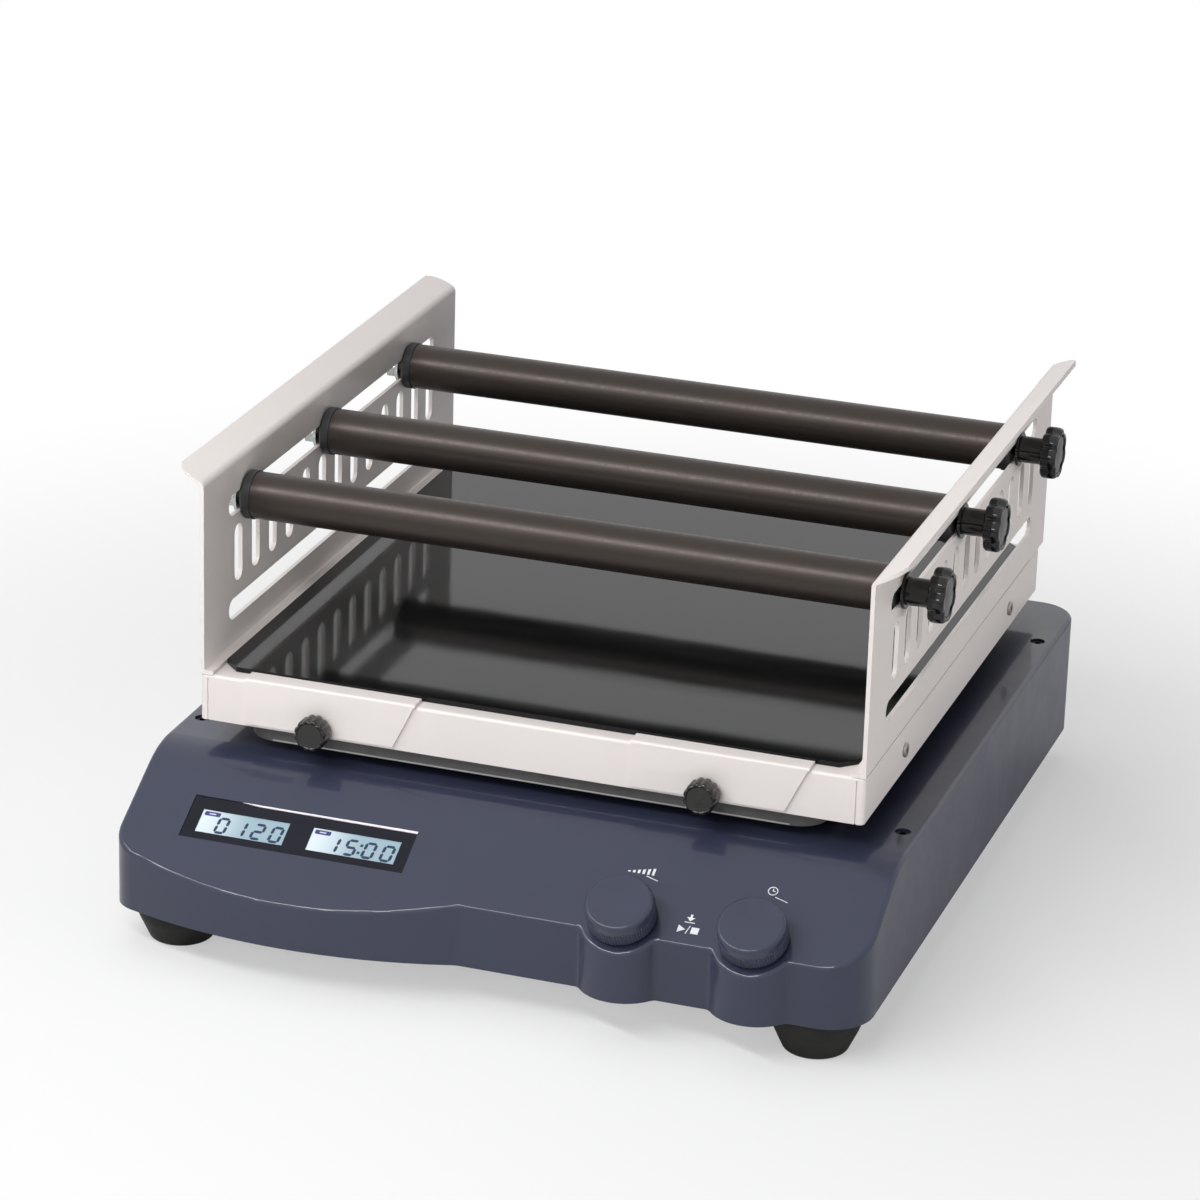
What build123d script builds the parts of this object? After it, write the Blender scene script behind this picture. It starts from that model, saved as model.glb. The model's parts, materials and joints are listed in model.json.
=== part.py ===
from build123d import *
import math
import os

# Orbital shaker for flasks. Sizes in millimetres, +Z up.
# While modelling, the middle of the tray is x = 0, y = 0 and the table is z = 0.
# Every piece is moved at the end so that the origin is the bottom centre of the whole.
# The front, with the controls, faces -Y.

os.makedirs("parts", exist_ok=True)

# Base housing
HOUSING_W = 370.0
HOUSING_H = 62.5
HOUSING_REAR_Y = 180.0
HOUSING_FRONT_Y = -225.5
HOUSING_WALL = 4.0
REAR_CORNER_R = 20.0
FRONT_RIGHT_R = 22.0
FRONT_LEFT_R = 16.0
BULGE_REACH = 14.5
BULGE_Y = HOUSING_FRONT_Y - BULGE_REACH
BULGE_SHARE = 0.48
BULGE_END_GAP = 78.3
BULGE_END_R = 14.0
FRONT_EDGE_H = 30.5
SLOPE_DEG = 30.0
KNEE_R = 45.0
TOP_EDGE_R = 2.2

# Boss bulges under the two control knobs
BOSS_R = 21.5
BOSS_REACH = 10.0
BOSS_FILLET_R = 4.0
KNOB_INSET = 53.7
KNOB_PITCH = 63.1
TIME_KNOB_X = HOUSING_W / 2 - KNOB_INSET
SPEED_KNOB_X = TIME_KNOB_X - KNOB_PITCH

# The left bulge ends a set gap before the speed knob, and its arc follows from that.
BULGE_CHORD = BULGE_SHARE * (SPEED_KNOB_X - BULGE_END_GAP + HOUSING_W / 2)
BULGE_X = SPEED_KNOB_X - BULGE_END_GAP - BULGE_CHORD
BULGE_R = (BULGE_CHORD**2 + BULGE_REACH**2) / (2 * BULGE_REACH)
KNOB_UP_SLOPE = 8.3

# Bottom plate
PLATE_T = 2.5
PLATE_GAP = 0.4
PLATE_SCREW_R = 2.0
PLATE_SCREW_LEN = 14.0
PLATE_SCREW_HEAD_R = 4.0
PLATE_SCREW_HEAD_H = 2.4
PLATE_POST_R = 6.0
PLATE_POST_INSET = 11.0
PLATE_POST_YS = (-90.0, 60.0)

# Rubber feet
FOOT_H = 20.0
FOOT_TOP_R = 21.0
FOOT_TIP_R = 15.0
FOOT_STRAIGHT_H = 7.0
FOOT_SHOULDER_R = 5.0
FOOT_BORE_R = 6.0
FOOT_WEB = 8.0
FOOT_INSET_X = 27.0
FOOT_INSET_FRONT = 22.5
FOOT_INSET_REAR = 30.0
FOOT_X = HOUSING_W / 2 - FOOT_INSET_X
FOOT_FRONT_Y = HOUSING_FRONT_Y + FOOT_INSET_FRONT
FOOT_REAR_Y = HOUSING_REAR_Y - FOOT_INSET_REAR
FOOT_POST_R = 8.0
FOOT_SCREW_R = 2.5
FOOT_SCREW_HEAD_R = 4.6
FOOT_SCREW_HEAD_H = 3.2
FOOT_SCREW_GRIP = 14.0
FOOT_POST_CAP = 3.0

# Deck screws in their recesses
DECK_SCREW_INSET = 8.5
DECK_SCREW_X = HOUSING_W / 2 - DECK_SCREW_INSET
DECK_SCREW_FRONT_Y = -135.0
DECK_SCREW_REAR_Y = 123.0
DECK_RECESS_R = 3.8
DECK_RECESS_DEPTH = 5.0
DECK_SCREW_HEAD_R = 3.5
DECK_SCREW_HEAD_H = 4.0
DECK_SCREW_R = 2.0
DECK_SCREW_LEN = 12.0
HEX_SOCKET_AF = 3.0
HEX_SOCKET_DEPTH = 2.0
DECK_BOSS_R = 7.0
DECK_BOSS_H = 20.0

# Orbit and main drive
ECCENTRIC = 5.0
RUN_GAP = 0.05
AXIAL_GAP = 0.1
MAIN_BEARING_OD = 35.0
MAIN_BEARING_ID = 15.0
MAIN_BEARING_B = 11.0
BEARING_SPACER = 5.0
HUB_WALL = 6.0
HUB_LIP = 1.0
SHAFT_HOLE_R = 9.5
SHAFT_COLLAR_R = 8.9
CRANK_RISE = 1.0
CRANK_DISC_R = 15.0
CRANK_DISC_H = 10.0
PIN_R = 5.0
PIN_BEARING_OD = 26.0
PIN_BEARING_B = 8.0
WEIGHT_R = 58.0
WEIGHT_NECK_W = 44.0

# Pulleys, belt and motor
PULLEY_R = 45.0
PULLEY_W = 12.0
PULLEY_FLANGE_R = 48.5
PULLEY_FLANGE_T = 1.0
PULLEY_HUB_R = 13.0
PULLEY_WEB_T = 5.0
PULLEY_RIM_T = 5.0
PULLEY_HOLES = 6
PULLEY_HOLE_R = 8.5
PULLEY_RISE = 6.0
SHAFT_TAIL = 1.5
BELT_T = 2.2
BELT_GAP = 0.1
BELT_SIDE_GAP = 0.3
MOTOR_X = 0.0
MOTOR_DIST = 98.0
MOTOR_PULLEY_R = 14.0
MOTOR_PULLEY_FLANGE_R = 17.0
MOTOR_SHAFT_R = 4.0
MOTOR_FLANGE = 62.0
MOTOR_FLANGE_T = 4.0
MOTOR_R = 29.0
MOTOR_LEN = 26.0
MOTOR_NECK_R = 11.0
MOTOR_NECK_H = 3.0
MOTOR_SCREW_PITCH = 48.0
MOTOR_SCREW_R = 2.0
MOTOR_SCREW_HEAD_R = 3.5
MOTOR_SCREW_HEAD_H = 3.0
MOTOR_SCREW_BITE = 3.0
MOTOR_CORNER_R = 6.0

# Idler cranks that keep the tray from turning
IDLER_X = 105.0
IDLER_DY = 110.0
IDLER_BEARING_OD = 22.0
IDLER_BEARING_ID = 8.0
IDLER_BEARING_B = 7.0
IDLER_BOSS_R = 15.0
IDLER_BOSS_H = 18.0
IDLER_WEB_HOLE_R = 6.5
IDLER_DISC_R = 13.0
IDLER_DISC_H = 5.0
IDLER_COLLAR_R = 5.5
IDLER_COLLAR_H = 3.0

# Carriage under the tray
CARRIAGE_W = 288.0
CARRIAGE_D = 321.0
CARRIAGE_GAP = 5.0
CARRIAGE_CORNER_R = 15.0
CARRIAGE_TOP_T = 4.0
CARRIAGE_SKIRT_T = 3.5
CARRIAGE_HUB_R = 19.0
CARRIAGE_BOSS_R = 15.5
BEARING_SEAT = 0.5
RELIEF_R = 7.0
PIN_OVERRUN = 1.5
RIB_T = 4.0
RIB_H = 9.0
THREAD_BLOCK = 14.0
THREAD_BLOCK_DEPTH = 8.0

# Tray
TRAY_W = 330.0
TRAY_D = 328.0
TRAY_T = 1.5
TRAY_RISE = 36.0
TRAY_LIP = 23.2
TRAY_CORNER_R = 2.5
TRAY_TOP_R = 1.6
SEAM_FROM_CORNER = 4.0
SEAM_W = 0.8
SEAM_DEPTH = 0.6

# Mat
MAT_W = 316.0
MAT_FRONT_Y = -155.5
MAT_REAR_Y = 158.0
MAT_T = 2.5
MAT_CHAMFER = 8.0

# Side panels
PANEL_T = 2.0
PANEL_H = 95.0
PANEL_REAR_Y = 172.0
PANEL_FOOT_W = 6.5
FLARE_DEG = 25.0
FLARE_L = 14.6
BEND_R = 2.0
FLARE_CORNER_R = 12.0
SLOT_H = 10.5
UPPER_SLOT_RISE = 73.9
LOWER_SLOT_RISE = 20.6
LONG_SLOT_FRONT_Y = -134.0
LONG_SLOT_REAR_Y = 140.0
UP_SLOT_COUNT = 13
UP_SLOT_PITCH = 21.4
UP_SLOT_FIRST_Y = -122.4
UP_SLOT_W = 9.5
UP_SLOT_LEN = 29.0
UP_SLOT_RISE = 48.0
TAB_W = 20.0
TAB_DROP = 20.0
TAB_GAP = 0.3
TAB_YS = (-95.0, 103.0)
PANEL_SCREW_R = 2.0
PANEL_SCREW_HEAD_R = 3.6
PANEL_SCREW_HEAD_H = 1.4
PANEL_SCREW_DROP = 12.4
PANEL_SCREW_TAIL = 4.0

# Clamp plates on the front lip
CLAMP_T = 1.5
CLAMP_W = 86.5
CLAMP_SLANT = 11.0
CLAMP_HOOK = 8.0
CLAMP_LIFT = 1.6
CLAMP_XS = (-141.5, 52.0)
THUMB_ACROSS = 37.5
THUMB_DROP = 18.0

# Thumb screws
THUMB_R = 8.8
THUMB_H = 9.5
THUMB_COLLAR_R = 5.5
THUMB_COLLAR_H = 1.5
THUMB_SHANK_R = 2.5
THUMB_HOLE_R = 3.0
THUMB_FLUTES = 12
THUMB_FLUTE_R = 1.5
THUMB_TAIL = 3.0

# Bars across the tray
BAR_R = 11.5
BAR_BORE_R = 9.5
BAR_YS = (-111.0, -10.0, 102.5)
CAP_R = 12.0
CAP_T = 5.0
CAP_PLUG_L = 14.0
CAP_CHAMFER = 1.2
STUD_R = 4.0
STUD_IN = 12.0
WASHER_R = 10.0
WASHER_T = 1.5
NUT_R = 7.0
NUT_H = 6.5
DOME_R = 5.8

# Star knobs
STAR_STEM_R = 8.0
STAR_STEM_L = 10.5
STAR_R = 15.2
STAR_H = 10.5
STAR_LOBES = 7
STAR_SCALLOP_R = 4.6
STAR_SCALLOP_AT = 17.4
STAR_EDGE_R = 1.2
STAR_RIM_R = 0.9
STAR_INSERT_L = 14.0

# Control knobs and their encoders
KNOB_R = 16.0
KNOB_H = 12.0
KNOB_RIM_R = 2.0
KNOB_LIFT = 1.6
KNOB_HOLLOW_R = 12.5
KNOB_HOLLOW_H = 6.5
PUSH_TRAVEL = 0.8
SHAFT_R = 3.0
SHAFT_INTO_KNOB = 4.0
BUSH_R = 4.5
BUSH_ABOVE = 4.0
ENC_NUT_R = 7.0
ENC_NUT_H = 2.5
ENC_BODY = 14.0
ENC_BODY_H = 8.0
ENC_POCKET = ENC_BODY + 2.0
PLUNGER_R = 3.6
PLUNGER_H = 2.5
PLUNGER_GAP = 0.02

# Display
WINDOW_INSET = 30.5
LCD_INSET = 6.5
LCD_PITCH = 56.2
LCD_W = 44.2
LCD_RIGHT = 6.1
WINDOW_W = LCD_INSET + LCD_PITCH + LCD_W + LCD_RIGHT
WINDOW_X0 = WINDOW_INSET - HOUSING_W / 2
WINDOW_X1 = WINDOW_X0 + WINDOW_W
WINDOW_S0 = 12.5
WINDOW_S1 = 37.2
WINDOW_LEDGE = 2.0
WINDOW_RECESS = 2.0
BEZEL_T = 1.5
LCD_X0S = (WINDOW_X0 + LCD_INSET, WINDOW_X0 + LCD_INSET + LCD_PITCH)
LCD_S0 = 16.9
LCD_H = 13.3
LCD_T = 5.6
LCD_SET = 0.4
BOARD_T = 1.6
BOARD_MARGIN_X = 7.0
BOARD_MARGIN_Y = 3.0
BOARD_POST_R = 3.0

# Rear: mains inlet and power switch
INLET_X = -110.0
REAR_FIT_Z = 34.0
INLET_W = 31.0
INLET_H = 24.5
INLET_FLANGE_T = 2.5
INLET_BODY_W = 27.5
INLET_BODY_H = 20.0
INLET_BODY_L = 20.0
INLET_SOCKET_W = 24.6
INLET_SOCKET_H = 17.0
INLET_SOCKET_D = 16.5
INLET_CHAMFER = 4.5
PRONG_PITCH = 14.0
PRONG_T = 2.0
PRONG_W = 4.0
PRONG_L = 14.0
PRONG_UP = 2.0
SWITCH_X = -65.0
SWITCH_W = 21.0
SWITCH_H = 28.0
SWITCH_FLANGE_T = 2.0
SWITCH_BODY_W = 19.0
SWITCH_BODY_H = 25.0
SWITCH_BODY_L = 16.0
ROCKER_W = 14.0
ROCKER_H = 21.0
ROCKER_GAP = 0.4
ROCKER_SHOULDER = 0.7
ROCKER_DEG = 7.0
ROCKER_T = 6.5
ROCKER_PIN_R = 1.5

# Control board on the bottom plate
CONTROL_X = -95.0
CONTROL_Y = 105.0
CONTROL_W = 110.0
CONTROL_D = 70.0
CONTROL_STANDOFF = 6.0
CONTROL_STANDOFF_R = 3.0
CONTROL_INSET = 5.0
COIL_BOX = (34.0, 28.0, 24.0)
SINK_BOX = (50.0, 6.0, 26.0)
CAP_CAN_R = 8.0
CAP_CAN_H = 22.0

# Heights that follow
BOTTOM = FOOT_H
DECK = BOTTOM + HOUSING_H
DECK_UNDER = DECK - HOUSING_WALL
PLATE_TOP = BOTTOM + PLATE_T
TRAY_TOP = DECK + TRAY_RISE
TRAY_UNDER = TRAY_TOP - TRAY_T
LIP_BOTTOM = TRAY_TOP - TRAY_LIP
CARRIAGE_BOTTOM = DECK + CARRIAGE_GAP
CARRIAGE_UNDER = TRAY_UNDER - CARRIAGE_TOP_T
BAR_Z = TRAY_TOP + UPPER_SLOT_RISE
FRONT_Y = -TRAY_D / 2
HALF_W = TRAY_W / 2
PANEL_IN = HALF_W - PANEL_T
DRIVE_Y = -ECCENTRIC
MOTOR_Y = DRIVE_Y + MOTOR_DIST
CRANK_BASE = DECK + CRANK_RISE
CRANK_TOP = CRANK_BASE + CRANK_DISC_H
SLOPE_RAD = math.radians(SLOPE_DEG)

nodes = {}


def keep(name, *shapes):
    """Keeps the solids of one node until all are made."""
    solids = []
    for shape in shapes:
        solids.extend(shape.solids())
    nodes[name] = solids


def block(x0, x1, y0, y1, z0, z1):
    """Box between two corners."""
    return Pos((x0 + x1) / 2, (y0 + y1) / 2, (z0 + z1) / 2) * Box(x1 - x0, y1 - y0, z1 - z0)


def rod_z(x, y, r, z0, z1):
    """Upright cylinder."""
    return Pos(x, y, (z0 + z1) / 2) * Cylinder(r, z1 - z0)


def rod_x(y, z, r, x0, x1):
    """Cylinder along X."""
    return Pos((x0 + x1) / 2, y, z) * Rot(0, 90, 0) * Cylinder(r, x1 - x0)


def rod_y(x, z, r, y0, y1):
    """Cylinder along Y."""
    return Pos(x, (y0 + y1) / 2, z) * Rot(90, 0, 0) * Cylinder(r, y1 - y0)


def ring_z(x, y, r_out, r_in, z0, z1):
    """Upright ring."""
    return rod_z(x, y, r_out, z0, z1) - rod_z(x, y, r_in, z0 - 1, z1 + 1)


def bearing_z(x, y, od, bore, z0, width):
    """Sealed bearing: outer and inner ring with the shield set back between them."""
    body = ring_z(x, y, od / 2, bore / 2, z0, z0 + width)
    wall = (od - bore) / 2
    groove_out = od / 2 - wall * 0.28
    groove_in = bore / 2 + wall * 0.28
    depth = width * 0.08
    low = ring_z(x, y, groove_out, groove_in, z0 - 1, z0 + depth)
    high = ring_z(x, y, groove_out, groove_in, z0 + width - depth, z0 + width + 1)
    return body - low - high


def hexagon_z(x, y, across, z0, z1):
    """Upright hexagonal prism."""
    flat = RegularPolygon(across / 2, 6, major_radius=False)
    return Pos(x, y, z0) * extrude(flat, z1 - z0)


def corner_fillet(face, x, y, radius):
    """Rounds the corner of a flat face that lies nearest to a point."""
    nearest = min(face.vertices(), key=lambda v: math.hypot(v.X - x, v.Y - y))
    return fillet(nearest, radius)


def rounded_block(x0, x1, y0, y1, z0, z1, r):
    """Box with rounded upright edges."""
    flat = Pos((x0 + x1) / 2, (y0 + y1) / 2) * RectangleRounded(x1 - x0, y1 - y0, r)
    return Pos(0, 0, z0) * extrude(flat, z1 - z0)


# The slope's own frame: x across, y up the slope, z out of it.
SLOPE = Plane(
    origin=(0, HOUSING_FRONT_Y, BOTTOM + FRONT_EDGE_H),
    x_dir=(1, 0, 0),
    z_dir=(0, -math.sin(SLOPE_RAD), math.cos(SLOPE_RAD)),
)


def on_slope(shape, x=0.0, s=0.0, h=0.0):
    """Places a shape modelled about the origin on the slope."""
    return SLOPE.location * Pos(x, s, h) * shape


def slope_block(x0, x1, s0, s1, h0, h1):
    """Box in the slope's frame."""
    return SLOPE.location * block(x0, x1, s0, s1, h0, h1)


# Base housing


def housing_outline():
    """Plan of the housing: a bulge at the left of the front and two knob bosses."""
    half = HOUSING_W / 2
    centre_y = BULGE_Y + BULGE_R
    end_x = BULGE_X + math.sqrt(BULGE_R**2 - (centre_y - HOUSING_FRONT_Y) ** 2)
    left_y = centre_y - math.sqrt(BULGE_R**2 - (half + BULGE_X) ** 2)
    edges = Curve() + [
        Line((-half, left_y), (-half, HOUSING_REAR_Y)),
        Line((-half, HOUSING_REAR_Y), (half, HOUSING_REAR_Y)),
        Line((half, HOUSING_REAR_Y), (half, HOUSING_FRONT_Y)),
        Line((half, HOUSING_FRONT_Y), (end_x, HOUSING_FRONT_Y)),
        ThreePointArc((end_x, HOUSING_FRONT_Y), (BULGE_X, BULGE_Y), (-half, left_y)),
    ]
    face = make_face(edges)
    boss_y = HOUSING_FRONT_Y - BOSS_REACH + BOSS_R
    chord = math.sqrt(BOSS_R**2 - (BOSS_R - BOSS_REACH) ** 2)
    for x in (SPEED_KNOB_X, TIME_KNOB_X):
        face = face + Pos(x, boss_y) * Circle(BOSS_R)
    face = corner_fillet(face, -half, HOUSING_REAR_Y, REAR_CORNER_R)
    face = corner_fillet(face, half, HOUSING_REAR_Y, REAR_CORNER_R)
    face = corner_fillet(face, half, HOUSING_FRONT_Y, FRONT_RIGHT_R)
    face = corner_fillet(face, -half, left_y, FRONT_LEFT_R)
    face = corner_fillet(face, end_x, HOUSING_FRONT_Y, BULGE_END_R)
    for x in (SPEED_KNOB_X, TIME_KNOB_X):
        face = corner_fillet(face, x - chord, HOUSING_FRONT_Y, BOSS_FILLET_R)
        face = corner_fillet(face, x + chord, HOUSING_FRONT_Y, BOSS_FILLET_R)
    return face


def housing_profile(drop):
    """Side profile of deck and slope, set inward by drop, as a block across the width."""
    deck = DECK - drop
    slope_z = BOTTOM + FRONT_EDGE_H - drop / math.cos(SLOPE_RAD)
    knee_y = HOUSING_FRONT_Y + (deck - slope_z) / math.tan(SLOPE_RAD)
    far = HOUSING_REAR_Y + HOUSING_W
    near = BULGE_Y - FOOT_H
    near_z = slope_z + (near - HOUSING_FRONT_Y) * math.tan(SLOPE_RAD)
    low = -HOUSING_H
    outline = Polygon((near, low), (far, low), (far, deck), (knee_y, deck), (near, near_z), align=None)
    outline = corner_fillet(outline, knee_y, deck, KNEE_R - drop)
    return extrude(Plane.YZ * outline, HOUSING_W, both=True)


PLAN = housing_outline()
PLAN_INNER = offset(PLAN, -HOUSING_WALL)
outer = Pos(0, 0, BOTTOM) * extrude(PLAN, HOUSING_H) & housing_profile(0.0)
cavity = Pos(0, 0, BOTTOM - 1) * extrude(PLAN_INNER, HOUSING_H) & housing_profile(HOUSING_WALL)


def is_rim(edge):
    """True for an edge where the deck or slope meets a wall."""
    middle = edge @ 0.5
    start = edge @ 0
    end = edge @ 1
    if middle.Z < BOTTOM + 1:
        return False
    if math.hypot(start.X - end.X, start.Y - end.Y) < 0.01:
        return False
    across = abs(start.Y - end.Y) < 0.01 and abs(start.Z - end.Z) < 0.01
    inside = HOUSING_FRONT_Y + 1 < middle.Y < HOUSING_REAR_Y - 1
    wide = abs(start.X - end.X) > HOUSING_W / 2
    return not (across and inside and wide)


outer = fillet(outer.edges().filter_by(is_rim), TOP_EDGE_R)
housing = outer - cavity

# Posts for the feet and the bottom plate, trimmed to the housing's outside.
# A foot's post is low and stands on two ribs from the walls beside it.
posts = []
foot_post_top = PLATE_TOP + FOOT_SCREW_GRIP + FOOT_POST_CAP
for x in (-FOOT_X, FOOT_X):
    for y, wall_y in ((FOOT_FRONT_Y, BULGE_Y), (FOOT_REAR_Y, HOUSING_REAR_Y)):
        posts.append(rod_z(x, y, FOOT_POST_R, PLATE_TOP, foot_post_top))
        xs = sorted((x, math.copysign(HOUSING_W / 2, x)))
        ys = sorted((y, wall_y))
        half = RIB_T / 2
        posts.append(block(xs[0], xs[1], y - half, y + half, PLATE_TOP, foot_post_top))
        posts.append(block(x - half, x + half, ys[0], ys[1], PLATE_TOP, foot_post_top))
plate_post_x = HOUSING_W / 2 - PLATE_POST_INSET
for x in (-plate_post_x, plate_post_x):
    for y in PLATE_POST_YS:
        posts.append(rod_z(x, y, PLATE_POST_R, PLATE_TOP, DECK_UNDER + 1))
for x in (-DECK_SCREW_X, DECK_SCREW_X):
    for y in (DECK_SCREW_FRONT_Y, DECK_SCREW_REAR_Y):
        posts.append(rod_z(x, y, DECK_BOSS_R, DECK - DECK_BOSS_H, DECK_UNDER + 1))
hub_bottom = DECK_UNDER - 2 * MAIN_BEARING_B - BEARING_SPACER - HUB_LIP
posts.append(rod_z(0, DRIVE_Y, MAIN_BEARING_OD / 2 + HUB_WALL, hub_bottom, DECK_UNDER + 1))
idler_points = []
for x in (-IDLER_X, IDLER_X):
    for y in (DRIVE_Y - IDLER_DY, DRIVE_Y + IDLER_DY):
        idler_points.append((x, y))
        posts.append(rod_z(x, y, IDLER_BOSS_R, DECK - IDLER_BOSS_H, DECK_UNDER + 1))
inner_trim = Pos(0, 0, BOTTOM) * extrude(offset(PLAN, -HOUSING_WALL / 2), HOUSING_H)
trim = inner_trim & housing_profile(HOUSING_WALL / 2)
for post in posts:
    housing = housing + (post & trim)

# Bores, recesses and screw holes.
housing = housing - rod_z(0, DRIVE_Y, SHAFT_HOLE_R, DECK_UNDER - 1, DECK + 1)
housing = housing - rod_z(0, DRIVE_Y, MAIN_BEARING_OD / 2, hub_bottom - 1, DECK_UNDER)
for x, y in idler_points:
    low = DECK - IDLER_BOSS_H
    housing = housing - rod_z(x, y, IDLER_BEARING_OD / 2, DECK - IDLER_BEARING_B, DECK + 1)
    housing = housing - rod_z(x, y, IDLER_WEB_HOLE_R, low - 1, DECK)
    housing = housing - rod_z(x, y, IDLER_BEARING_OD / 2, low - 1, low + IDLER_BEARING_B)
for x in (-DECK_SCREW_X, DECK_SCREW_X):
    for y in (DECK_SCREW_FRONT_Y, DECK_SCREW_REAR_Y):
        floor = DECK - DECK_RECESS_DEPTH
        housing = housing - rod_z(x, y, DECK_RECESS_R, floor, DECK + 1)
        housing = housing - rod_z(x, y, DECK_SCREW_R, floor - DECK_SCREW_LEN, floor + 1)
for x in (-FOOT_X, FOOT_X):
    for y in (FOOT_FRONT_Y, FOOT_REAR_Y):
        housing = housing - rod_z(x, y, FOOT_SCREW_R, PLATE_TOP - 1, PLATE_TOP + FOOT_SCREW_GRIP)
for x in (-plate_post_x, plate_post_x):
    for y in PLATE_POST_YS:
        depth = PLATE_SCREW_LEN - PLATE_T
        housing = housing - rod_z(x, y, PLATE_SCREW_R, PLATE_TOP - 1, PLATE_TOP + depth)
for dx in (-MOTOR_SCREW_PITCH / 2, MOTOR_SCREW_PITCH / 2):
    for dy in (-MOTOR_SCREW_PITCH / 2, MOTOR_SCREW_PITCH / 2):
        top = DECK_UNDER + MOTOR_SCREW_BITE
        housing = housing - rod_z(MOTOR_X + dx, MOTOR_Y + dy, MOTOR_SCREW_R, DECK_UNDER - 1, top)

# Window recess with a through opening inside its ledge.
housing = housing - slope_block(
    WINDOW_X0, WINDOW_X1, WINDOW_S0, WINDOW_S1, -WINDOW_RECESS, HOUSING_WALL
)
housing = housing - slope_block(
    WINDOW_X0 + WINDOW_LEDGE,
    WINDOW_X1 - WINDOW_LEDGE,
    WINDOW_S0 + WINDOW_LEDGE,
    WINDOW_S1 - WINDOW_LEDGE,
    -2 * HOUSING_WALL,
    0.0,
)
knob_xs = (SPEED_KNOB_X, TIME_KNOB_X)
for x in knob_xs:
    hole = Cylinder(BUSH_R, 4 * HOUSING_WALL)
    housing = housing - on_slope(hole, x, KNOB_UP_SLOPE, 0.0)
    pocket = Box(ENC_POCKET, ENC_POCKET, BOSS_R)
    top_h = -HOUSING_WALL - BOSS_R / 2
    housing = housing - on_slope(pocket, x, KNOB_UP_SLOPE, top_h)

# Openings in the rear wall.
rear_in = HOUSING_REAR_Y - HOUSING_WALL
rear_z = BOTTOM + REAR_FIT_Z
housing = housing - block(
    INLET_X - INLET_BODY_W / 2,
    INLET_X + INLET_BODY_W / 2,
    rear_in - 1,
    HOUSING_REAR_Y + 1,
    rear_z - INLET_BODY_H / 2,
    rear_z + INLET_BODY_H / 2,
)
housing = housing - block(
    SWITCH_X - SWITCH_BODY_W / 2,
    SWITCH_X + SWITCH_BODY_W / 2,
    rear_in - 1,
    HOUSING_REAR_Y + 1,
    rear_z - SWITCH_BODY_H / 2,
    rear_z + SWITCH_BODY_H / 2,
)

# Posts that carry the display board, on the slope's underside beside the window.
board_h = -WINDOW_RECESS + BEZEL_T - LCD_SET - LCD_T
board_x0 = WINDOW_X0 - BOARD_MARGIN_X
board_x1 = WINDOW_X1 + BOARD_MARGIN_X
board_s0 = WINDOW_S0 - BOARD_MARGIN_Y
board_s1 = WINDOW_S1 + BOARD_MARGIN_Y
for x in (board_x0 + BOARD_POST_R, board_x1 - BOARD_POST_R):
    for s in (board_s0 + BOARD_POST_R, board_s1 - BOARD_POST_R):
        length = -board_h - HOUSING_WALL / 2
        post = Cylinder(BOARD_POST_R, length)
        middle = board_h + length / 2
        housing = housing + on_slope(post, x, s, middle)
keep("base_housing", housing)

# Bottom plate, feet and screws

plate = Pos(0, 0, BOTTOM) * extrude(offset(PLAN, -HOUSING_WALL - PLATE_GAP), PLATE_T)
for x in (-FOOT_X, FOOT_X):
    for y in (FOOT_FRONT_Y, FOOT_REAR_Y):
        plate = plate - rod_z(x, y, FOOT_SCREW_R, BOTTOM - 1, PLATE_TOP + 1)
for x in (-plate_post_x, plate_post_x):
    for y in PLATE_POST_YS:
        plate = plate - rod_z(x, y, PLATE_SCREW_R, BOTTOM - 1, PLATE_TOP + 1)
keep("base_plate", plate)

plate_screws = []
for x in (-plate_post_x, plate_post_x):
    for y in PLATE_POST_YS:
        shank = rod_z(x, y, PLATE_SCREW_R, BOTTOM, BOTTOM + PLATE_SCREW_LEN)
        head = rod_z(x, y, PLATE_SCREW_HEAD_R, BOTTOM - PLATE_SCREW_HEAD_H, BOTTOM)
        head = fillet(head.edges().sort_by(Axis.Z)[0], PLATE_SCREW_HEAD_H / 2)
        socket = hexagon_z(
            x, y, HEX_SOCKET_AF, BOTTOM - PLATE_SCREW_HEAD_H, BOTTOM - PLATE_SCREW_HEAD_H / 3
        )
        plate_screws.append(head + shank - socket)
keep("base_plate_screws", *plate_screws)

foot_web_z = BOTTOM - FOOT_WEB


def rubber_foot(x, y):
    """Round foot with a straight top, a rounded taper and a bore for its screw."""
    taper_z = BOTTOM - FOOT_STRAIGHT_H
    outline = Polygon(
        (FOOT_SCREW_R, BOTTOM),
        (FOOT_TOP_R, BOTTOM),
        (FOOT_TOP_R, taper_z),
        (FOOT_TIP_R, 0),
        (FOOT_BORE_R, 0),
        (FOOT_BORE_R, foot_web_z),
        (FOOT_SCREW_R, foot_web_z),
        align=None,
    )
    outline = corner_fillet(outline, FOOT_TOP_R, taper_z, 2 * FOOT_SHOULDER_R)
    outline = corner_fillet(outline, FOOT_TIP_R, 0, FOOT_SHOULDER_R / 2)
    return Pos(x, y, 0) * revolve(Plane.XZ * outline, Axis.Z)


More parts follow.
